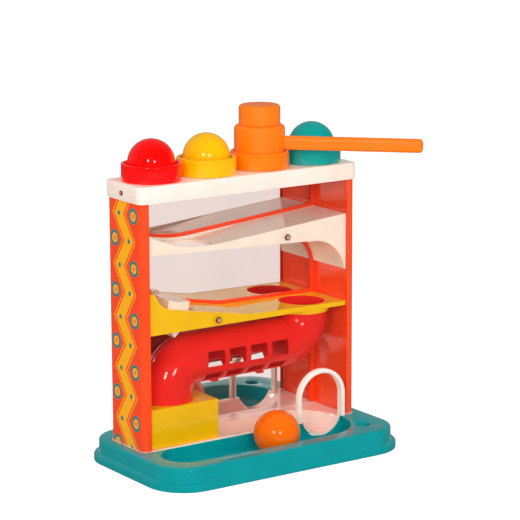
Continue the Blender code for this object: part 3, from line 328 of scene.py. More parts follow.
def boolean(body, operation, *shapes, place=(0, 0, 0)):
    for shape in shapes:
        bmesh.ops.recalc_face_normals(shape, faces=shape.faces)
        bmesh.ops.translate(shape, vec=TOWER_PLACE + Vector(place), verts=shape.verts)
        mesh = bpy.data.meshes.new("tool")
        shape.to_mesh(mesh)
        shape.free()
        tool = new_body("tool", mesh)
        change = body.modifiers.new("shape", "BOOLEAN")
        change.operation = operation
        change.solver = "EXACT"
        change.object = tool
        bake(body)
        smooth(body.data)
        bpy.data.objects.remove(tool, do_unlink=True)


def join(body, *shapes, place=(0, 0, 0)):
    boolean(body, "UNION", *shapes, place=place)


def cut(body, *shapes, place=(0, 0, 0)):
    boolean(body, "DIFFERENCE", *shapes, place=place)


def round_front_edge(bm, width):
    # Rounds the long top edge of a track's flange, beside the window.
    face = TRACK_FRONT + TOWER_PLACE.y + BITE / 4
    edges = []
    for edge in bm.edges:
        if all(vert.co.y < face for vert in edge.verts) and len(edge.link_faces) == 2:
            heights = sorted(link.normal.z for link in edge.link_faces)
            if heights[1] > 0.7 and heights[0] < 0.3:
                edges.append(edge)
    bmesh.ops.bevel(
        bm, geom=edges, offset=width, segments=4, affect="EDGES", profile=0.5, clamp_overlap=True
    )


def softened(node, body, material, width, front_edge=0.0, less=None, more=None):
    # The node's own shape with its facets joined and its edges broken as a mould leaves them,
    # without the shape less and with the shape more.
    mesh = nodes[node].data.copy()
    bm = bmesh.new()
    bm.from_mesh(mesh)
    bmesh.ops.remove_doubles(bm, verts=bm.verts, dist=SAME_POINT)
    bm.to_mesh(mesh)
    bm.free()
    made = new_body(node + "_soft", mesh)
    if less:
        cut(made, less)
    if more:
        join(made, more)
    mesh = made.data
    bm = bmesh.new()
    bm.from_mesh(mesh)
    bmesh.ops.dissolve_limit(
        bm, angle_limit=FACET_ANGLE, verts=bm.verts, edges=bm.edges, delimit={"NORMAL"}
    )
    if front_edge:
        round_front_edge(bm, front_edge)
    bm.to_mesh(mesh)
    bm.free()
    mesh.materials.clear()
    mesh.materials.append(material)
    if width:
        break_edges(made, width, SOFT_ANGLE)
    else:
        smooth(mesh)
    weigh_normals(made)
    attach(made, body)
    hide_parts(node)


def arc(centre, radius, start, end, steps):
    # Points of an arc in a plane, from the start angle to the end angle in degrees.
    points = []
    for step in range(steps + 1):
        angle = math.radians(start + (end - start) * step / steps)
        points.append((centre[0] + radius * math.cos(angle), centre[1] + radius * math.sin(angle)))
    return points


def quarter(steps):
    # The angles of a quarter turn, in radians.
    return [math.radians(90) * step / steps for step in range(steps + 1)]


def rounded_rectangle(length, depth, radius, centre=(0, 0), steps=CORNER_STEPS):
    across = length / 2 - radius
    along = depth / 2 - radius
    x, y = centre
    return (
        arc((x + across, y + along), radius, 0, 90, steps)
        + arc((x - across, y + along), radius, 90, 180, steps)
        + arc((x - across, y - along), radius, 180, 270, steps)
        + arc((x + across, y - along), radius, 270, 360, steps)
    )


def prism(outline, low, high, axis="Z"):
    # The outline lies in XY for a Z prism and in XZ for a Y prism.
    place = {
        "Z": lambda p, h: (p[0], p[1], h),
        "Y": lambda p, h: (p[0], h, p[1]),
    }[axis]
    bm = bmesh.new()
    verts = [bm.verts.new(place(point, low)) for point in outline]
    face = bm.faces.new(verts)
    grown = bmesh.ops.extrude_face_region(bm, geom=[face])
    top = [item for item in grown["geom"] if isinstance(item, bmesh.types.BMVert)]
    shift = Vector(place((0, 0), high)) - Vector(place((0, 0), low))
    bmesh.ops.translate(bm, vec=shift, verts=top)
    return bm


def block(x, y, z):
    return prism([(x[0], y[0]), (x[1], y[0]), (x[1], y[1]), (x[0], y[1])], z[0], z[1])


def lofted(rings):
    # Each ring is a list of 3D points, all with the same count; the first and last are capped.
    bm = bmesh.new()
    loops = [[bm.verts.new(point) for point in ring] for ring in rings]
    count = len(loops[0])
    for lower, upper in zip(loops, loops[1:]):
        for step in range(count):
            after = (step + 1) % count
            bm.faces.new((lower[step], lower[after], upper[after], upper[step]))
    bm.faces.new(loops[0])
    bm.faces.new(loops[-1])
    return bm


def turned(profile, steps=ROUND_STEPS):
    # Profile points are (radius, height). A profile that starts and ends on the axis makes a
    # solid; any other profile is closed into a ring.
    bm = bmesh.new()
    verts = [bm.verts.new((radius, 0, height)) for radius, height in profile]
    edges = [bm.edges.new(pair) for pair in zip(verts, verts[1:])]
    if profile[0][0] > 0 or profile[-1][0] > 0:
        edges.append(bm.edges.new((verts[-1], verts[0])))
    bmesh.ops.spin(
        bm, geom=verts + edges, cent=(0, 0, 0), axis=UP, dvec=(0, 0, 0),
        angle=2 * math.pi, steps=steps, use_merge=True, use_duplicate=False,
    )
    bmesh.ops.remove_doubles(bm, verts=bm.verts, dist=SAME_POINT)
    return bm


def swept(section, path, up):
    # The section's first number runs along up, its second to the right of the way forward.
    up = Vector(up)
    path = [Vector(point) for point in path]
    rings = []
    for index, point in enumerate(path):
        ahead = path[min(index + 1, len(path) - 1)]
        behind = path[max(index - 1, 0)]
        forward = (ahead - behind).normalized()
        side = forward.cross(up).normalized()
        rings.append([point + up * a + side * b for a, b in section])
    return lofted(rings)


def stacked(outline, profile):
    # The outline takes an inset; the profile holds (inset, height) pairs.
    rings = []
    for inset, height in profile:
        rings.append([(x, y, height) for x, y in outline(inset)])
    return lofted(rings)


def rounded_edge(inset, top, radius, steps=EDGE_STEPS):
    # The rounded outer edge of a stacked solid, as (inset, height) pairs.
    return [
        (inset + radius * (1 - math.cos(angle)), top - radius * (1 - math.sin(angle)))
        for angle in quarter(steps)
    ]


def placed(start, axis):
    # Turns up to the axis and moves the origin to start.
    turn = Vector(UP).rotation_difference(Vector(axis)).to_matrix().to_4x4()
    return Matrix.Translation(start) @ turn


def rod(radius, length, start, axis, steps=ROD_STEPS):
    bm = turned([(0, 0), (radius, 0), (radius, length), (0, length)], steps)
    bmesh.ops.transform(bm, matrix=placed(start, axis), verts=bm.verts)
    return bm


def merged(shapes):
    # Separate shapes as one mesh.
    bm = bmesh.new()
    for shape in shapes:
        mesh = bpy.data.meshes.new("merge")
        shape.to_mesh(mesh)
        shape.free()
        bm.from_mesh(mesh)
        bpy.data.meshes.remove(mesh)
    return bm


# Materials

CLOUD_SCALE = 38.0
GLOSS_SCALE = 160.0
SKIN_SCALE = 900.0
SKIN_RELIEF = 0.00002

# Print on the left end board's outer face
PRINT_DEPTH = 0.0003
PRINT_PITCH = 0.0496
PRINT_SWING = 0.0085
PRINT_BAND = 0.0078
PRINT_LINE = 0.0108
PRINT_LINE_WIDTH = 0.0007
DOT_ACROSS = 0.0165
DOT_RADIUS = 0.0078
DOT_RING_RADIUS = 0.0046
DOT_HEART_RADIUS = 0.0024
BEND_DOT_SHARE = 0.52


class Graph:
    # Short names for the nodes of one tree.
    def __init__(self, tree):
        self.tree = tree

    def feed(self, socket, value):
        # The value is another socket, a number or a colour; None leaves the socket as it is.
        if isinstance(value, bpy.types.NodeSocket):
            self.tree.links.new(value, socket)
        elif isinstance(value, tuple):
            socket.default_value = (*value, 1.0)
        elif value is not None:
            socket.default_value = value

    def add(self, kind, *values):
        node = self.tree.nodes.new("ShaderNode" + kind)
        for socket, value in zip(node.inputs, values):
            self.feed(socket, value)
        return node

    def math(self, kind, *values):
        node = self.add("Math", *values)
        node.operation = kind
        return node.outputs[0]

    def seen_rays(self):
        # One for rays of the camera, through clear sheets and off polished mirrors.
        path = self.add("LightPath").outputs
        polished = self.math("MULTIPLY", path["Is Glossy Ray"], path["Is Singular Ray"])
        clear = self.math("MAXIMUM", path["Is Camera Ray"], path["Is Transmission Ray"])
        return self.math("MAXIMUM", polished, clear)


class Net(Graph):
    # Short names for the nodes of one material.
    def __init__(self, name):
        self.material = bpy.data.materials.new(name)
        self.material.use_nodes = True
        super().__init__(self.material.node_tree)
        self.shader = self.tree.nodes["Principled BSDF"]
        self.out = self.tree.nodes["Material Output"]
        self.where = self.add("TexCoord").outputs["Object"]

    def set(self, name, value):
        self.feed(self.shader.inputs[name], value)

    def noise(self, scale, detail):
        node = self.add("TexNoise", self.where)
        self.feed(node.inputs["Scale"], scale)
        self.feed(node.inputs["Detail"], detail)
        return node.outputs["Fac"]

    def span(self, value, low, high):
        # Noise, which keeps near its middle, spread over low to high.
        return self.add("MapRange", value, 0.3, 0.7, low, high).outputs["Result"]

    def mix(self, factor, first, second):
        node = self.add("Mix", factor)
        node.data_type = "RGBA"
        sockets = [s for s in node.inputs if s.type == "RGBA"]
        for socket, value in zip(sockets, (first, second)):
            self.feed(socket, value)
        return [s for s in node.outputs if s.type == "RGBA"][0]

    def bump(self, scale, strength):
        node = self.add("Bump")
        self.feed(node.inputs["Strength"], strength)
        self.feed(node.inputs["Distance"], SKIN_RELIEF)
        self.feed(node.inputs["Height"], self.noise(scale, 2.0))
        self.set("Normal", node.outputs["Normal"])


def linear(red, green, blue):
    # An 8-bit screen colour as the shader's linear one.
    def one(value):
        value /= 255
        return value / 12.92 if value <= 0.04045 else ((value + 0.055) / 1.055) ** 2.4
    return one(red), one(green), one(blue)


def moulded(name, colour, rough, relief=0.10, level=0.3):
    # Moulded plastic: faint flow clouds in the colour, uneven gloss and a fine skin.
    net = Net(name)
    clouds = net.noise(CLOUD_SCALE, 4.0)
    deep = tuple(channel * 0.93 for channel in colour)
    pale = tuple(min(channel * 1.03 + 0.002, 1.0) for channel in colour)
    net.set("Base Color", net.mix(net.span(clouds, 0.0, 1.0), deep, pale))
    net.set("Roughness", net.span(net.noise(GLOSS_SCALE, 5.0), rough * 0.85, rough * 1.2))
    net.set("Specular IOR Level", level)
    net.bump(SKIN_SCALE, relief)
    return net.material


CREAM = linear(252, 238, 226)
PANEL_RED = linear(255, 72, 20)
TEAL = linear(0, 149, 153)
YELLOW = linear(247, 196, 0)
TUBE_RED = linear(238, 34, 28)
ORANGE = linear(255, 122, 0)
BALL_ORANGE = linear(255, 108, 0)
CUP_RED = linear(250, 0, 0)
CUP_YELLOW = linear(246, 184, 0)
CUP_TEAL = linear(0, 158, 152)

# The top bar's cream is a darker copy of the track cream: painted shade that offsets the strong
# light on the bar.
bar_cream_shaded = moulded("cream_plastic", linear(251, 232, 219), 0.30, relief=0.14)
cream_glossy = moulded("cream_glossy_plastic", CREAM, 0.07, level=0.5)
# The floor's cream is tinted pink: painted red bounce light from the boards round it.
floor_cream_bounce_tinted = moulded("floor_plastic_bounce_tinted", linear(252, 222, 207), 0.07, level=0.5)
panel_red = moulded("panel_plastic", PANEL_RED, 0.14)
panel_glossy = moulded("panel_right_plastic", linear(255, 76, 24), 0.09, level=0.65)
teal = moulded("base_plastic", TEAL, 0.07)
yellow = moulded("track_plastic", YELLOW, 0.08, level=0.5)
box_yellow = moulded("box_plastic", linear(250, 196, 0), 0.16)
tube_red = moulded("tube_plastic", TUBE_RED, 0.10, level=0.5)
hammer_orange = moulded("hammer_plastic", ORANGE, 0.32, relief=0.16)
tip_cream = moulded("tip_plastic", linear(255, 243, 232), 0.45, relief=0.2)
cup_plastic = {
    "red": moulded("cup_red_plastic", CUP_RED, 0.08, level=0.5),
    "yellow": moulded("cup_yellow_plastic", CUP_YELLOW, 0.08, level=0.5),
    "orange": moulded("cup_orange_plastic", ORANGE, 0.08, level=0.5),
    "teal": moulded("cup_teal_plastic", CUP_TEAL, 0.08, level=0.5),
}
ball_plastic = {
    "red": moulded("ball_red_plastic", CUP_RED, 0.07, level=0.4),
    "yellow": moulded("ball_yellow_plastic", CUP_YELLOW, 0.07, level=0.4),
    "orange": moulded("ball_orange_plastic", BALL_ORANGE, 0.07, level=0.4),
    "teal": moulded("ball_teal_plastic", CUP_TEAL, 0.07, level=0.4),
}


def printed_panel():
    # The left end board: a zigzag band with dots in its bends, printed on its outer face.
    net = Net("printed_panel_plastic")
    x, y, z = net.add("SeparateXYZ", net.where).outputs
    across = net.math("SUBTRACT", y, TOWER_PLACE.y)
    up = net.math("SUBTRACT", z, PANEL_BOTTOM)
    fold = net.math("PINGPONG", up, PRINT_PITCH / 2)
    slant = PRINT_SWING * 4 / PRINT_PITCH
    zig = net.math("MULTIPLY", net.math("SUBTRACT", fold, PRINT_PITCH / 4), slant)
    off = net.math("ABSOLUTE", net.math("SUBTRACT", across, zig))
    band = net.math("LESS_THAN", off, PRINT_BAND)
    beside = net.math("ABSOLUTE", net.math("SUBTRACT", off, PRINT_LINE))
    line = net.math("LESS_THAN", beside, PRINT_LINE_WIDTH)

    def square(value):
        return net.math("MULTIPLY", value, value)

    def spot(side, shift, radius):
        dy = net.math("SUBTRACT", across, side * DOT_ACROSS)
        dz = net.math("WRAP", net.math("SUBTRACT", up, shift), PRINT_PITCH / 2, -PRINT_PITCH / 2)
        far = net.math("SQRT", net.math("ADD", square(dy), square(dz)))
        return net.math("LESS_THAN", far, radius)

    dull_red = tuple(c * 0.96 for c in PANEL_RED)
    colour = net.mix(net.noise(CLOUD_SCALE, 4.0), dull_red, PANEL_RED)
    print_yellow = linear(255, 176, 0)
    print_teal = linear(62, 128, 122)
    print_orange = linear(255, 120, 40)
    outer = net.math("LESS_THAN", x, TOWER_PLACE.x - TOWER_LENGTH / 2 + PRINT_DEPTH)

    def lay(mask, ink):
        nonlocal colour
        colour = net.mix(net.math("MULTIPLY", mask, outer), colour, ink)

    lay(line, print_yellow)
    lay(band, print_yellow)
    for side, shift in ((1, 0.0), (-1, PRINT_PITCH / 2)):
        lay(spot(side, shift, DOT_RADIUS), print_teal)
        lay(spot(side, shift, DOT_RING_RADIUS), print_yellow)
        lay(spot(side, shift, DOT_HEART_RADIUS), print_orange)
        # A small dot on the band, at the outside of each bend.
        lay(spot(-side * BEND_DOT_SHARE, shift, DOT_HEART_RADIUS), print_teal)
    net.set("Base Color", colour)
    net.set("Roughness", net.span(net.noise(GLOSS_SCALE, 5.0), 0.17, 0.25))
    net.set("Specular IOR Level", 0.4)
    net.bump(SKIN_SCALE, 0.10)
    return net.material


def clear_sheet():
    # Clear plastic: see-through, with a weak reflection that grows at a slant. The first three
    # values stand for it where only the material's plain settings are read.
    net = Net("window_plastic")
    net.set("Base Color", (0.95, 0.90, 0.89))
    net.set("Roughness", net.span(net.noise(25.0, 3.0), 0.0, 0.02))
    net.set("Alpha", 0.10)
    clear = net.add("BsdfTransparent", (0.99, 0.97, 0.95))
    gloss = net.add("BsdfGlossy")
    net.feed(gloss.inputs["Roughness"], 0.03)
    fresnel = net.add("Fresnel", 1.45).outputs[0]
    front = net.math("SUBTRACT", 1.0, net.add("NewGeometry").outputs["Backfacing"])
    weak = net.math("MULTIPLY", net.math("MULTIPLY", fresnel, 0.90), front)
    mix = net.add("MixShader", weak, clear.outputs[0], gloss.outputs[0])
    net.feed(net.out.inputs["Surface"], mix.outputs[0])
    return net.material


def silvered():
    net = Net("mirror_sheet_silver")
    net.set("Metallic", 1.0)
    net.set("Roughness", 0.0)
    faint = net.span(net.noise(12.0, 3.0), 0.0, 1.0)
    net.set("Base Color", net.mix(faint, (0.72, 0.66, 0.675), (0.76, 0.695, 0.71)))
    return net.material


def plated(name, deep, pale, metallic):
    # Coppery plated steel with fine turning marks.
    net = Net(name)
    net.set("Metallic", metallic)
    net.set("Base Color", net.mix(net.noise(500.0, 4.0), deep, pale))
    net.set("Roughness", net.span(net.noise(1500.0, 2.0), 0.22, 0.38))
    net.bump(2500.0, 0.2)
    return net.material


steel = plated("plated_steel", (0.70, 0.36, 0.28), (0.92, 0.60, 0.50), 0.35)
# A near-black copy of the plated steel: painted shade for the outer rims of the screw heads.
rim_shade_steel = plated("rim_shade_painted_steel", (0.16, 0.045, 0.025), (0.26, 0.08, 0.04), 0.5)


# Base

def base_outline(inset):
    return rounded_rectangle(
        BASE_LENGTH - 2 * inset, BASE_DEPTH - 2 * inset, BASE_CORNER - inset, (0, -BASE_FORWARD)
    )


def trough_outline(inset):
    half = TROUGH_WIDTH / 2 - inset
    middle = TROUGH_REAR - TROUGH_WIDTH / 2
    sweep = TROUGH_WIDTH - inset
    left = arc((TROUGH_LEFT_CENTRE, middle), half, 90, 270, 32)
    last = math.degrees(math.asin(-inset / sweep))
    right = arc((TROUGH_RIGHT_CENTRE, TROUGH_REAR), sweep, -90, last, 28)
    right[0] = (TROUGH_RIGHT_CENTRE, middle - half)
    right[-1] = (TROUGH_RIGHT_CENTRE + sweep * math.cos(math.radians(last)), TROUGH_REAR - inset)
    return left + right


def channel_section(radius, raise_to):
    lower = arc((0, 0), radius, 90, 270, PIPE_STEPS)
    return [(raise_to, radius)] + lower + [(raise_to, -radius)]


def floor_outline(gap):
    reach = FLOOR_LEDGE + gap
    return rounded_rectangle(
        TOWER_LENGTH + 2 * reach, TOWER_DEPTH + 2 * reach, TOWER_CORNER + reach
    )


def base_screw_rods(radius, low, length, steps):
    # Upright rods round the four base screws.
    rods = []
    for x in (-1, 1):
        for y in (-1, 1):
            start = (x * SCREW_COLUMN, y * BASE_SCREW_Y, low)
            rods.append(rod(radius, length, start, UP, steps))
    return merged(rods)


def build_base():
    foot = BASE_FOOT_BEVEL
    outside = [(foot, 0), (foot * 0.3, foot * 0.3), (0, foot)]
    outside += rounded_edge(0, BASE_TIER_HEIGHT, BASE_TIER_EDGE, 5)
    fillet = BASE_TIER_FILLET
    for angle in quarter(4):
        outside.append((
            BASE_TIER_STEP - fillet + fillet * math.sin(angle),
            BASE_TIER_HEIGHT + fillet * (1 - math.cos(angle)),
        ))
    outside += rounded_edge(BASE_TIER_STEP, BASE_HEIGHT, BASE_EDGE, 8)
    base = piece("base_moulding", stacked(base_outline, outside), "bench", "base_tray", teal)
    ceiling = BASE_HEIGHT - BASE_WALL
    hollow = [
        (BASE_WALL, -BITE), (BASE_WALL, BASE_TIER_HEIGHT - BASE_WALL),
        (BASE_TIER_STEP + BASE_WALL, BASE_TIER_HEIGHT - BASE_WALL),
        (BASE_TIER_STEP + BASE_WALL, ceiling - BASE_EDGE / 2),
        (BASE_TIER_STEP + BASE_WALL + BASE_EDGE / 2, ceiling),
    ]
    cut(base, stacked(base_outline, hollow))
    wall_top = BASE_HEIGHT - BASE_WALL / 2
    skin = [
        (TROUGH_FILLET * TROUGH_CORNER_SHARE - TROUGH_SKIN, TROUGH_FLOOR - TROUGH_SKIN),
        (-TROUGH_SKIN, TROUGH_FILLET), (-TROUGH_SKIN, wall_top),
    ]
    join(base, stacked(trough_outline, skin))
    start = (SOCKET_X, SOCKET_Y, MESH_GAP)
    join(base, rod(SOCKET_RADIUS + SOCKET_WALL, wall_top - MESH_GAP, start, UP, HOLE_STEPS))
    radius = SCREW_BOSS_RADIUS + BASE_WALL / 2
    length = wall_top - BASE_SCREW_SEAT
    join(base, base_screw_rods(radius, BASE_SCREW_SEAT, length, ROD_STEPS))
    fillet, lip = TROUGH_FILLET, BASE_LIP
    pocket = [
        (fillet * (1 - math.sin(angle)), TROUGH_FLOOR + fillet * (1 - math.cos(angle)))
        for angle in quarter(8)
    ]
    pocket += [
        (-lip * (1 - math.cos(angle)), BASE_HEIGHT - lip * (1 - math.sin(angle)))
        for angle in quarter(4)
    ]
    pocket.append((-lip, BASE_HEIGHT + BASE_EDGE))
    cut(base, stacked(trough_outline, pocket))
    wide = SOCKET_RADIUS + SOCKET_ROUNDING
    hole = turned([
        (0, -BASE_EDGE), (SOCKET_RADIUS, -BASE_EDGE),
        (SOCKET_RADIUS, BASE_HEIGHT - SOCKET_ROUNDING),
        (SOCKET_RADIUS + SOCKET_ROUNDING * 0.25, BASE_HEIGHT - SOCKET_ROUNDING * 0.375),
        (wide, BASE_HEIGHT), (wide, BASE_HEIGHT + BASE_EDGE), (0, BASE_HEIGHT + BASE_EDGE),
    ], 48)
    cut(base, hole, place=(SOCKET_X, SOCKET_Y, 0))
    reach = CHANNEL_RADIUS + WALL + MESH_GAP * 2
    well = block(
        (CHANNEL_START - reach, CHANNEL_EXIT_X + reach), (CHANNEL_Y - reach, CHANNEL_Y + reach),
        (TROUGH_FLOOR, BASE_HEIGHT + BASE_EDGE),
    )
    cut(base, well)
    path = [(CHANNEL_EXIT_X, y, CHANNEL_RISE) for y in (CHANNEL_Y, TROUGH_REAR - BASE_WALL)]
    cut(base, swept(channel_section(reach, BASE_HEIGHT), path, UP))
    cut(base, prism(floor_outline(MESH_GAP), BASE_HEIGHT - FLOOR_SINK, BASE_HEIGHT + BASE_EDGE))
    cut(base, base_screw_rods(SCREW_RADIUS + SCREW_CLEARANCE, -BITE, BASE_HEIGHT * 2, 16))


# Tube

def tube_path():
    inlet = LOWER_COLLAR_BOTTOM - MESH_GAP
    high = TUBE_HEIGHT + TUBE_FALL / 2
    low = TUBE_HEIGHT - TUBE_FALL / 2
    right = (LOWER_HOLE_X - TUBE_INLET_BEND, high + TUBE_INLET_BEND)
    left = (TUBE_OUTLET_X + TUBE_BEND, low - TUBE_BEND)
    path = [(LOWER_HOLE_X, inlet)]
    path += arc(right, TUBE_INLET_BEND, 0, -90, BEND_STEPS)
    path += arc(left, TUBE_BEND, 90, 180, BEND_STEPS)
    path.append((TUBE_OUTLET_X, BOX_TOP + MESH_GAP))
    return [(x, 0, z) for x, z in path]


def ring_part(outer, inner, start, end, low, high, side=0.0):
    # Part of an upright ring round the lower track's hole.
    centre = (LOWER_HOLE_X, side)
    steps = ROUND_STEPS // 2
    outline = arc(centre, outer, start, end, steps) + arc(centre, inner, end, start, steps)
    return prism(outline, low, high)


def soft_block(x, y, z, radius):
    # A block with rounded corners seen along Y.
    middle = ((x[0] + x[1]) / 2, (z[0] + z[1]) / 2)
    return prism(rounded_rectangle(x[1] - x[0], z[1] - z[0], radius, middle, 5), y[0], y[1], "Y")


def build_tube_half(node, side):
    inner = TUBE_RADIUS - TUBE_WALL
    skew = MESH_GAP / 2
    outer_arc = arc((0, 0), TUBE_RADIUS, -90, 90, TUBE_SECTION_STEPS)
    inner_arc = arc((0, 0), inner, 90, -90, TUBE_SECTION_STEPS)
    section = [(side * (max(x, 0) + skew), y) for x, y in outer_arc + inner_arc]
    # The seam's outer edges are broken, so that a fine line shows along it.
    for corner, move in ((0, TUBE_SEAM), (TUBE_SECTION_STEPS, -TUBE_SEAM)):
        x, y = section[corner]
        section[corner] = (x, y + move)
    half = piece(node + "_moulding", swept(section, tube_path(), ALONG), "bench", node, tube_red)
    tools = []
    y = (-TUBE_RADIUS - WALL, -TUBE_RADIUS / 2)
    for column in range(TUBE_WINDOWS):
        start = TUBE_WINDOW_START + column * TUBE_WINDOW_PITCH
        x = (start, start + TUBE_WINDOW_LENGTH)
        for angle, height in (
            (SIDE_WINDOW_ANGLE, SIDE_WINDOW_HEIGHT), (LOW_WINDOW_ANGLE, LOW_WINDOW_HEIGHT)
        ):
            shape = soft_block(x, y, (-height / 2, height / 2), TUBE_WINDOW_CORNER)
            place = Matrix.Translation((0, 0, TUBE_HEIGHT)) @ Matrix.Rotation(-angle, 4, "X")
            if side > 0:
                place = Matrix.Scale(-1, 4, ALONG) @ place
            bmesh.ops.transform(shape, matrix=place, verts=shape.verts)
            tools.append(shape)
    cut(half, merged(tools))
    y = sorted((side * skew, side * (skew + TAB_THICKNESS)))
    bottom = TUBE_HEIGHT - TUBE_RADIUS
    tabs = []
    for centre in TAB_CENTRES:
        x = (centre - TAB_LENGTH / 2, centre + TAB_LENGTH / 2)
        tabs.append(soft_block(x, y, (bottom - TAB_DROP, bottom + TUBE_WALL), TAB_CORNER))
    join(half, merged(tabs))
    start = 0 if side > 0 else 180
    shoulder = LOWER_COLLAR_BOTTOM - MESH_GAP - BITE / 4
    outer = TUBE_RADIUS - TUBE_WALL / 2
    low = shoulder - NECK_SHOULDER
    end = start + 180
    join(half, ring_part(outer, NECK_BORE, start, end, low, shoulder, side * skew))
    join(half, ring_part(NECK_RADIUS, NECK_BORE, start, end, low + BITE, NECK_TOP, side * skew))
    break_edges(half, TUBE_SOFTNESS, TUBE_SOFT_ANGLE)


# Bar, cups, rings and balls

def cup_x(index):
    return (index - 1.5) * CUP_PITCH


def build_top_bar():
    def outline(inset):
        length = TOWER_LENGTH + 2 * (MESH_GAP + BAR_SKIN)
        depth = TOWER_DEPTH + 2 * (MESH_GAP + BAR_SKIN)
        corner = TOWER_CORNER + BAR_SKIN
        return rounded_rectangle(length - 2 * inset, depth - 2 * inset, corner - inset, (0, 0), 10)

    bottom = BAR_TOP - BAR_HEIGHT
    soft = BAR_SOFTNESS
    outside = [(soft, bottom), (soft * 0.3, bottom + soft * 0.3), (0, bottom + soft)]
    outside += rounded_edge(0, BAR_TOP, BAR_EDGE, 6)
    # The bar takes the darker copy of the cream: painted shade.
    bar = piece("bar_moulding", stacked(outline, outside), "bench", "top_bar", bar_cream_shaded)
    cut(bar, stacked(outline, [(BAR_SKIN, bottom - BITE), (BAR_SKIN, BAR_TOP - BAR_PLATE)]))
    holes = []
    for index in range(4):
        start = (cup_x(index), 0, BAR_TOP - BAR_PLATE * 2)
        radius = CUP_THROAT_RADIUS + CUP_SPIGOT_WALL + MESH_GAP
        holes.append(rod(radius, BAR_PLATE * 4, start, UP, HOLE_STEPS))
    cut(bar, merged(holes))
    for side in (-1, 1):
        start = (side * TOWER_LENGTH, 0, BAR_SCREW_HEIGHT)
        cut(bar, rod(SCREW_RADIUS + SCREW_CLEARANCE, TOWER_LENGTH, start, (-side, 0, 0), 20))


def rounded_profile(points, rounding):
    # Points of a turned profile as (radius, height, rounding share); each corner gets an arc.
    out = []
    count = len(points)
    for index in range(count):
        r, z, share = points[index]
        here = Vector((r, z))
        if share == 0:
            out.append((r, z))
            continue
        before = Vector(points[index - 1][:2])
        after = Vector(points[(index + 1) % count][:2])
        size = rounding * share
        a = here + (before - here).normalized() * size
        b = here + (after - here).normalized() * size
        for step in range(5):
            t = step / 4
            spot = a * (1 - t) ** 2 + here * 2 * t * (1 - t) + b * t ** 2
            out.append((spot.x, spot.y))
    return out


def build_cup(colour, index):
    base = BAR_TOP + MESH_GAP
    ledge = RING_TOP - RING_THICKNESS - MESH_GAP
    spigot = CUP_THROAT_RADIUS + CUP_SPIGOT_WALL
    low = BAR_TOP - BAR_PLATE
    profile = rounded_profile([
        (CUP_RADIUS, base, 0.4), (CUP_RADIUS, CUP_RIM, 1.4), (CUP_MOUTH_RADIUS, CUP_RIM, 0.8),
        (CUP_MOUTH_RADIUS, ledge, 0), (CUP_THROAT_RADIUS, ledge, 0.3),
        (CUP_THROAT_RADIUS, low, 0.3), (spigot, low, 0.3), (spigot, base, 0),
    ], 0.001)
    place = (cup_x(index), 0, 0)
    plastic = cup_plastic[colour]
    shape = turned(profile, CUP_STEPS)
    piece("cup_%s_moulding" % colour, shape, "bench", "cup_" + colour, plastic, place)
    low = RING_TOP - RING_THICKNESS
    outer = CUP_MOUTH_RADIUS - MESH_GAP
    profile = rounded_profile([
        (outer, low, 0), (outer, RING_TOP, 0.5), (RING_HOLE_RADIUS + RING_SLANT, RING_TOP, 0.8),
        (RING_HOLE_RADIUS, low, 0.8),
    ], 0.0005)
    shape = turned(profile, CUP_STEPS)
    piece("ring_%s_moulding" % colour, shape, "bench", "retainer_" + colour, plastic, place)


def build_ball(colour, centre):
    # Two halves welded at the middle: the weld is a hair-wide groove.
    bm = bmesh.new()
    bmesh.ops.create_uvsphere(bm, u_segments=96, v_segments=64, radius=BALL_RADIUS)
    for vert in bm.verts:
        if abs(vert.co.z) < BALL_RADIUS * WELD_SHARE:
            vert.co *= 1 - WELD_GROOVE / BALL_RADIUS
    name = "ball_" + colour
    piece(name + "_moulding", bm, name, name, ball_plastic[colour], centre)


def build_arch():
    front = -TOWER_DEPTH / 2 - ARCH_PROUD + WINDOW_SETBACK
    face = WINDOW_FRONT - MESH_GAP
    rear = WINDOW_FRONT + SHEET + 2 * MESH_GAP
    soft = ARCH_ROUNDING
    section = [(face, ARCH_RAIL)]
    section += arc((front + soft, ARCH_RAIL - soft), soft, 90, 180, 6)
    section += arc((front + soft, soft), soft, 180, 270, 6)
    section += [(rear, 0), (rear, ARCH_SLEEVE), (face, ARCH_SLEEVE)]
    radius = ARCH_RADIUS - ARCH_RAIL
    path = [(ARCH_X - radius, PANEL_BOTTOM - MESH_GAP)]
    path += arc((ARCH_X, ARCH_SPRING), radius, 180, 0, ARCH_STEPS)
    path.append((ARCH_X + radius, PANEL_BOTTOM - MESH_GAP))
    shape = swept(section, [(x, 0, z) for x, z in path], ALONG)
    piece("arch_moulding", shape, "bench", "arch_frame", cream_glossy)


# Hammer

def hammer_seat():
    over = RING_HOLE_RADIUS + RING_SLANT - (BARREL_RADIUS - BARREL_ROUNDING)
    sink = BARREL_ROUNDING - math.sqrt(BARREL_ROUNDING ** 2 - over ** 2)
    return RING_TOP - sink + 2 * MESH_GAP


def corner_arc(radius, height, rounding, start, end):
    return arc((radius - rounding, height), rounding, start, end, 8)


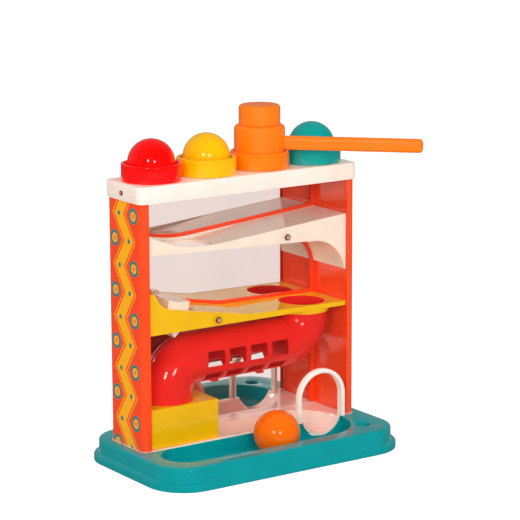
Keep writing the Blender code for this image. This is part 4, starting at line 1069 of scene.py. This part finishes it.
def build_hammer():
    place = (cup_x(HAMMER_CUP), 0, hammer_seat())
    top = BARREL_LENGTH
    node = "hammer_barrel"
    profile = [(0, 0)]
    profile += corner_arc(BARREL_RADIUS, BARREL_ROUNDING, BARREL_ROUNDING, -90, 0)
    profile += corner_arc(BARREL_RADIUS, top - BARREL_ROUNDING, BARREL_ROUNDING, 0, 90)
    profile.append((0, top))
    barrel = piece(node + "_moulding", turned(profile), "hammer", node, hammer_orange, place)
    heading = Matrix.Rotation(HAMMER_HEADING, 4, "Z")
    stations = [(0, BARREL_RADIUS / 2)] + rounded_edge(0, HANDLE_REACH, HANDLE_ROUNDING, 8)
    rings = []
    for inset, reach in stations:
        shrink = 1 - inset / (HANDLE_HEIGHT / 2)
        outline = rounded_rectangle(HANDLE_WIDTH, HANDLE_HEIGHT, HANDLE_ROUNDING, (0, 0), 8)
        ring = [(reach, y * shrink, HANDLE_LEVEL + z * shrink) for y, z in outline]
        rings.append([heading @ Vector(point) for point in ring])
    join(barrel, lofted(rings), place=place)
    depth = TIP_TENON + 2 * MESH_GAP
    sockets = [
        rod(TIP_TENON_RADIUS + MESH_GAP, depth + BITE, (0, 0, low), UP, 48)
        for low in (-BITE, top - depth)
    ]
    cut(barrel, merged(sockets), place=place)
    tip = [(0, -TIP_LENGTH)]
    tip += corner_arc(TIP_RADIUS, TIP_ROUNDING - TIP_LENGTH, TIP_ROUNDING, -90, 0)
    tip += [
        (TIP_RADIUS, -MESH_GAP), (TIP_TENON_RADIUS, -MESH_GAP),
        (TIP_TENON_RADIUS, TIP_TENON), (0, TIP_TENON),
    ]
    piece("hammer_tip_moulding", turned(tip), "hammer", "hammer_tip", tip_cream, place)
    cap = [
        (0, top - TIP_TENON), (TIP_TENON_RADIUS, top - TIP_TENON),
        (TIP_TENON_RADIUS, top + MESH_GAP), (CAP_RADIUS, top + MESH_GAP),
    ]
    cap += corner_arc(CAP_RADIUS, top + CAP_LENGTH - CAP_ROUNDING, CAP_ROUNDING, 0, 90)
    cap.append((0, top + CAP_LENGTH))
    piece("hammer_cap_moulding", turned(cap), "hammer", "hammer_cap", hammer_orange, place)


def build_beads(node, side):
    # The raised outlines on an end board's inner face.
    x = sorted((side * (PANEL_INNER + BITE / 2), side * (PANEL_INNER - BEAD_HEIGHT)))
    between = (BEAD_FRONT + BEAD_WIDTH, BEAD_REAR - BEAD_WIDTH)
    beads = []
    for low, high in BEAD_LEVELS:
        for y in (BEAD_FRONT, BEAD_REAR - BEAD_WIDTH):
            beads.append(block(x, (y, y + BEAD_WIDTH), (low, high)))
        for z in (low, high - BEAD_WIDTH):
            beads.append(block(x, between, (z, z + BEAD_WIDTH)))
    piece(node + "_beads", merged(beads), "bench", node, panel_red)


def dressed_screw(node, axis, head=SCREW_HEAD_RADIUS):
    # A round-headed screw with a crossed recess, and painted shade on the outer rim of its head,
    # where the recess round the head lies in shadow.
    low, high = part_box(node)
    centre = (low + high) / 2
    length = max(high - low)
    crown = SCREW_HEAD_HEIGHT
    shank = length - crown
    along = Vector(axis)
    start = centre - along * (length / 2 - crown)
    rise = 1 - SCREW_RIM_SHARE
    profile = [(0, shank), (SCREW_RADIUS, shank - SCREW_RADIUS)]
    profile += [(SCREW_RADIUS, 0), (head, 0), (head, -crown * SCREW_RIM_SHARE)]
    for angle in quarter(7)[1:]:
        height = SCREW_RIM_SHARE + rise * math.sin(angle)
        profile.append((head * math.cos(angle), -crown * height))
    made = piece(node + "_turned", turned(profile, SCREW_STEPS), "bench", node, steel)
    made.data.transform(placed(start, axis) @ Matrix.Translation(-TOWER_PLACE))
    reach = (-head * SLOT_REACH_SHARE, head * SLOT_REACH_SHARE)
    width = (-head * SLOT_WIDTH_SHARE, head * SLOT_WIDTH_SHARE)
    for x, y in ((reach, width), (width, reach)):
        slot_shape = block(x, y, (-crown * SLOT_TOP_SHARE, -crown * SLOT_FLOOR_SHARE))
        bmesh.ops.transform(slot_shape, matrix=placed(start, axis), verts=slot_shape.verts)
        cut(made, slot_shape, place=-TOWER_PLACE)
    # Faces on the head's outer rim take the near-black steel: painted shade.
    made.data.materials.append(rim_shade_steel)
    for face in made.data.polygons:
        away = face.center - start
        run = away.dot(along)
        if (away - along * run).length > head * SCREW_SHADE_SHARE and run < BITE:
            face.material_index = 1


build_base()
build_tube_half("tube_front_half", -1)
build_tube_half("tube_rear_half", 1)
build_top_bar()
for index, colour in enumerate(("red", "yellow", "orange", "teal")):
    build_cup(colour, index)
    centre = (cup_x(index), 0, CUP_RIM)
    if index == HAMMER_CUP:
        centre = (TROUGH_BALL_X, TROUGH_BALL_Y, TROUGH_FLOOR + MESH_GAP + BALL_RADIUS)
    build_ball(colour, centre)
build_arch()
build_hammer()
for name in ("track_screw_upper", "track_screw_lower"):
    dressed_screw(name, ALONG)
for name, axis in (("bar_screw_left", (1, 0, 0)), ("bar_screw_right", (-1, 0, 0))):
    dressed_screw(name, axis, BAR_SCREW_HEAD_RADIUS)
for side in ("left", "right"):
    for row in ("front", "rear"):
        dressed_screw("base_screw_%s_%s" % (side, row), UP)
softened("left_end_panel", "bench", printed_panel(), 0.0003)
softened("right_end_panel", "bench", panel_glossy, 0.0003)
softened("back_frame", "bench", panel_red, 0.0)
foot = block((0, TOWER_LENGTH), (-TOWER_LENGTH, TOWER_LENGTH), (LOWER_UNDERSIDE, BAFFLE_FOOT))
softened("upper_track", "bench", cream_glossy, 0.00025, front_edge=0.0010, less=foot)
skirt = ring_part(SKIRT_RADIUS, SKIRT_BORE, SKIRT_START, SKIRT_END, SKIRT_BOTTOM, SKIRT_TOP)
corner = block(
    (-TOWER_LENGTH, FLANGE_END_X), (-TOWER_LENGTH, TRACK_FRONT + FLANGE_END_DEPTH),
    (FLANGE_END_TOP, FLANGE_ABOVE),
)
softened("lower_track", "bench", yellow, 0.00025, front_edge=0.0012, less=corner, more=skirt)
build_beads("left_end_panel", -1)
build_beads("right_end_panel", 1)
# The floor chute takes the pink-tinted cream: painted red bounce light.
softened("floor_chute", "bench", floor_cream_bounce_tinted, 0.0002)
softened("exit_box", "bench", box_yellow, 0.0006)
softened("rocker", "rocker", cream_glossy, 0.0005)
softened("rocker_pin", "bench", steel, 0.0002)
softened("front_window", "bench", clear_sheet(), 0.0)
softened("mirror_sheet", "bench", silvered(), 0.0)


# Floor, background, lights and camera

FLOOR_REACH = 12.0
FLOOR_DROP = 0.0002
STUDIO_WHITE = (1.0, 0.985, 0.97)
SOFT_LEVEL = 0.67
SHOWN_LEVEL = 1.3
THROWN_LEVEL = 4.6


def build_stage():
    bm = bmesh.new()
    bmesh.ops.create_grid(bm, x_segments=1, y_segments=1, size=FLOOR_REACH)
    mesh = bpy.data.meshes.new("floor")
    bm.to_mesh(mesh)
    bm.free()
    floor = new_body("floor", mesh)
    floor.location.z = -FLOOR_DROP
    material = bpy.data.materials.new("floor_white")
    material.use_nodes = True
    material.node_tree.nodes.clear()
    net = Graph(material.node_tree)
    lit = net.add("BsdfDiffuse", (0.42, 0.42, 0.42))
    glow = net.add("Emission", None, 0.80)
    both = net.add("AddShader", lit.outputs[0], glow.outputs[0])
    pale = net.add("BsdfDiffuse", (0.8, 0.8, 0.8))
    dim = net.add("BsdfDiffuse", (0.22, 0.22, 0.22))
    glossy = net.add("LightPath").outputs["Is Glossy Ray"]
    plain = net.add("MixShader", glossy, pale.outputs[0], dim.outputs[0])
    mix = net.add("MixShader", net.seen_rays(), plain.outputs[0], both.outputs[0])
    net.add("OutputMaterial", mix.outputs[0])
    mesh.materials.append(material)


def build_world():
    world = bpy.data.worlds.new("studio")
    bpy.context.scene.world = world
    world.use_nodes = True
    world.node_tree.nodes.clear()
    net = Graph(world.node_tree)
    white = net.add("Background", (1, 1, 1), 1.0)
    # The unlit room: dim before the toy, paler behind it.
    split = net.add("SeparateXYZ", net.add("TexCoord").outputs["Generated"])
    shade = net.add("MapRange", split.outputs[1], -0.5, 0.9, 0.08, 0.36)
    # What a glossy floor and the mirror show together is the bright studio before the toy.
    path = net.add("LightPath").outputs
    twice = net.math("GREATER_THAN", path["Glossy Depth"], 1.5)
    # The mirror also throws the studio's light back onto the toy's inside.
    thrown = net.math("GREATER_THAN", path["Diffuse Depth"], 0.5)
    either = net.math("MAXIMUM", twice, thrown)
    level = net.add("Mix", thrown, None, SHOWN_LEVEL, THROWN_LEVEL)
    bright = net.add("Mix", either, None, shade.outputs["Result"], level.outputs[0])
    room = net.add("Background", STUDIO_WHITE, bright.outputs[0])
    soft = net.add("Background", STUDIO_WHITE, SOFT_LEVEL)
    unseen = net.add("MixShader", path["Is Glossy Ray"], soft.outputs[0], room.outputs[0])
    mix = net.add("MixShader", net.seen_rays(), unseen.outputs[0], white.outputs[0])
    net.add("OutputWorld", mix.outputs[0])


VIEW_PLACE = Vector((-1.22229, -1.79400, 0.65144))
VIEW_RIGHT = Vector((0.82361469, -0.56713904, -0.00348647))
VIEW_UP = Vector((0.12051353, 0.16899945, 0.97822067))
VIEW_BACK = Vector((-0.55419792, -0.80609708, 0.20753836))
SENSOR_WIDTH = 36
LENS = 161.09
LIT_POINT = Vector((0, 0, 0.15))


def build_camera():
    data = bpy.data.cameras.new("camera")
    data.sensor_width = SENSOR_WIDTH
    data.lens = LENS
    data.clip_end = 60
    camera = new_body("camera", data)
    turn = Matrix((VIEW_RIGHT, VIEW_UP, VIEW_BACK)).transposed()
    camera.matrix_world = Matrix.Translation(VIEW_PLACE) @ turn.to_4x4()
    bpy.context.scene.camera = camera


def softbox(name, azimuth, elevation, distance, width, height, power, glossy):
    # Azimuth 0 is straight in front of the toy, positive towards +X.
    data = bpy.data.lights.new(name, "AREA")
    data.shape = "RECTANGLE"
    data.size = width
    data.size_y = height
    data.energy = power
    light = new_body(name, data)
    light.visible_glossy = glossy
    a, e = math.radians(azimuth), math.radians(elevation)
    away = Vector((math.sin(a) * math.cos(e), -math.cos(a) * math.cos(e), math.sin(e)))
    light.location = LIT_POINT + away * distance
    light.rotation_euler = away.to_track_quat("Z", "Y").to_euler()


build_stage()
build_world()
build_camera()
for name, azimuth, elevation, distance, width, height, power, glossy in (
    ("key_left", -49, 18, 2.6, 0.36, 0.50, 11, True),
    ("key_right", -17, 15, 2.6, 0.34, 0.46, 9, True),
    ("fill_front", -8, 26, 2.6, 2.0, 0.9, 12, False),
    ("fill_left", -42, 26, 2.6, 1.2, 0.9, 6.3, False),
    ("fill_high_left", -62, 50, 2.4, 1.7, 1.7, 4, False),
):
    softbox(name, azimuth, elevation, distance, width, height, power, glossy)
bpy.context.scene.view_settings.view_transform = "Standard"
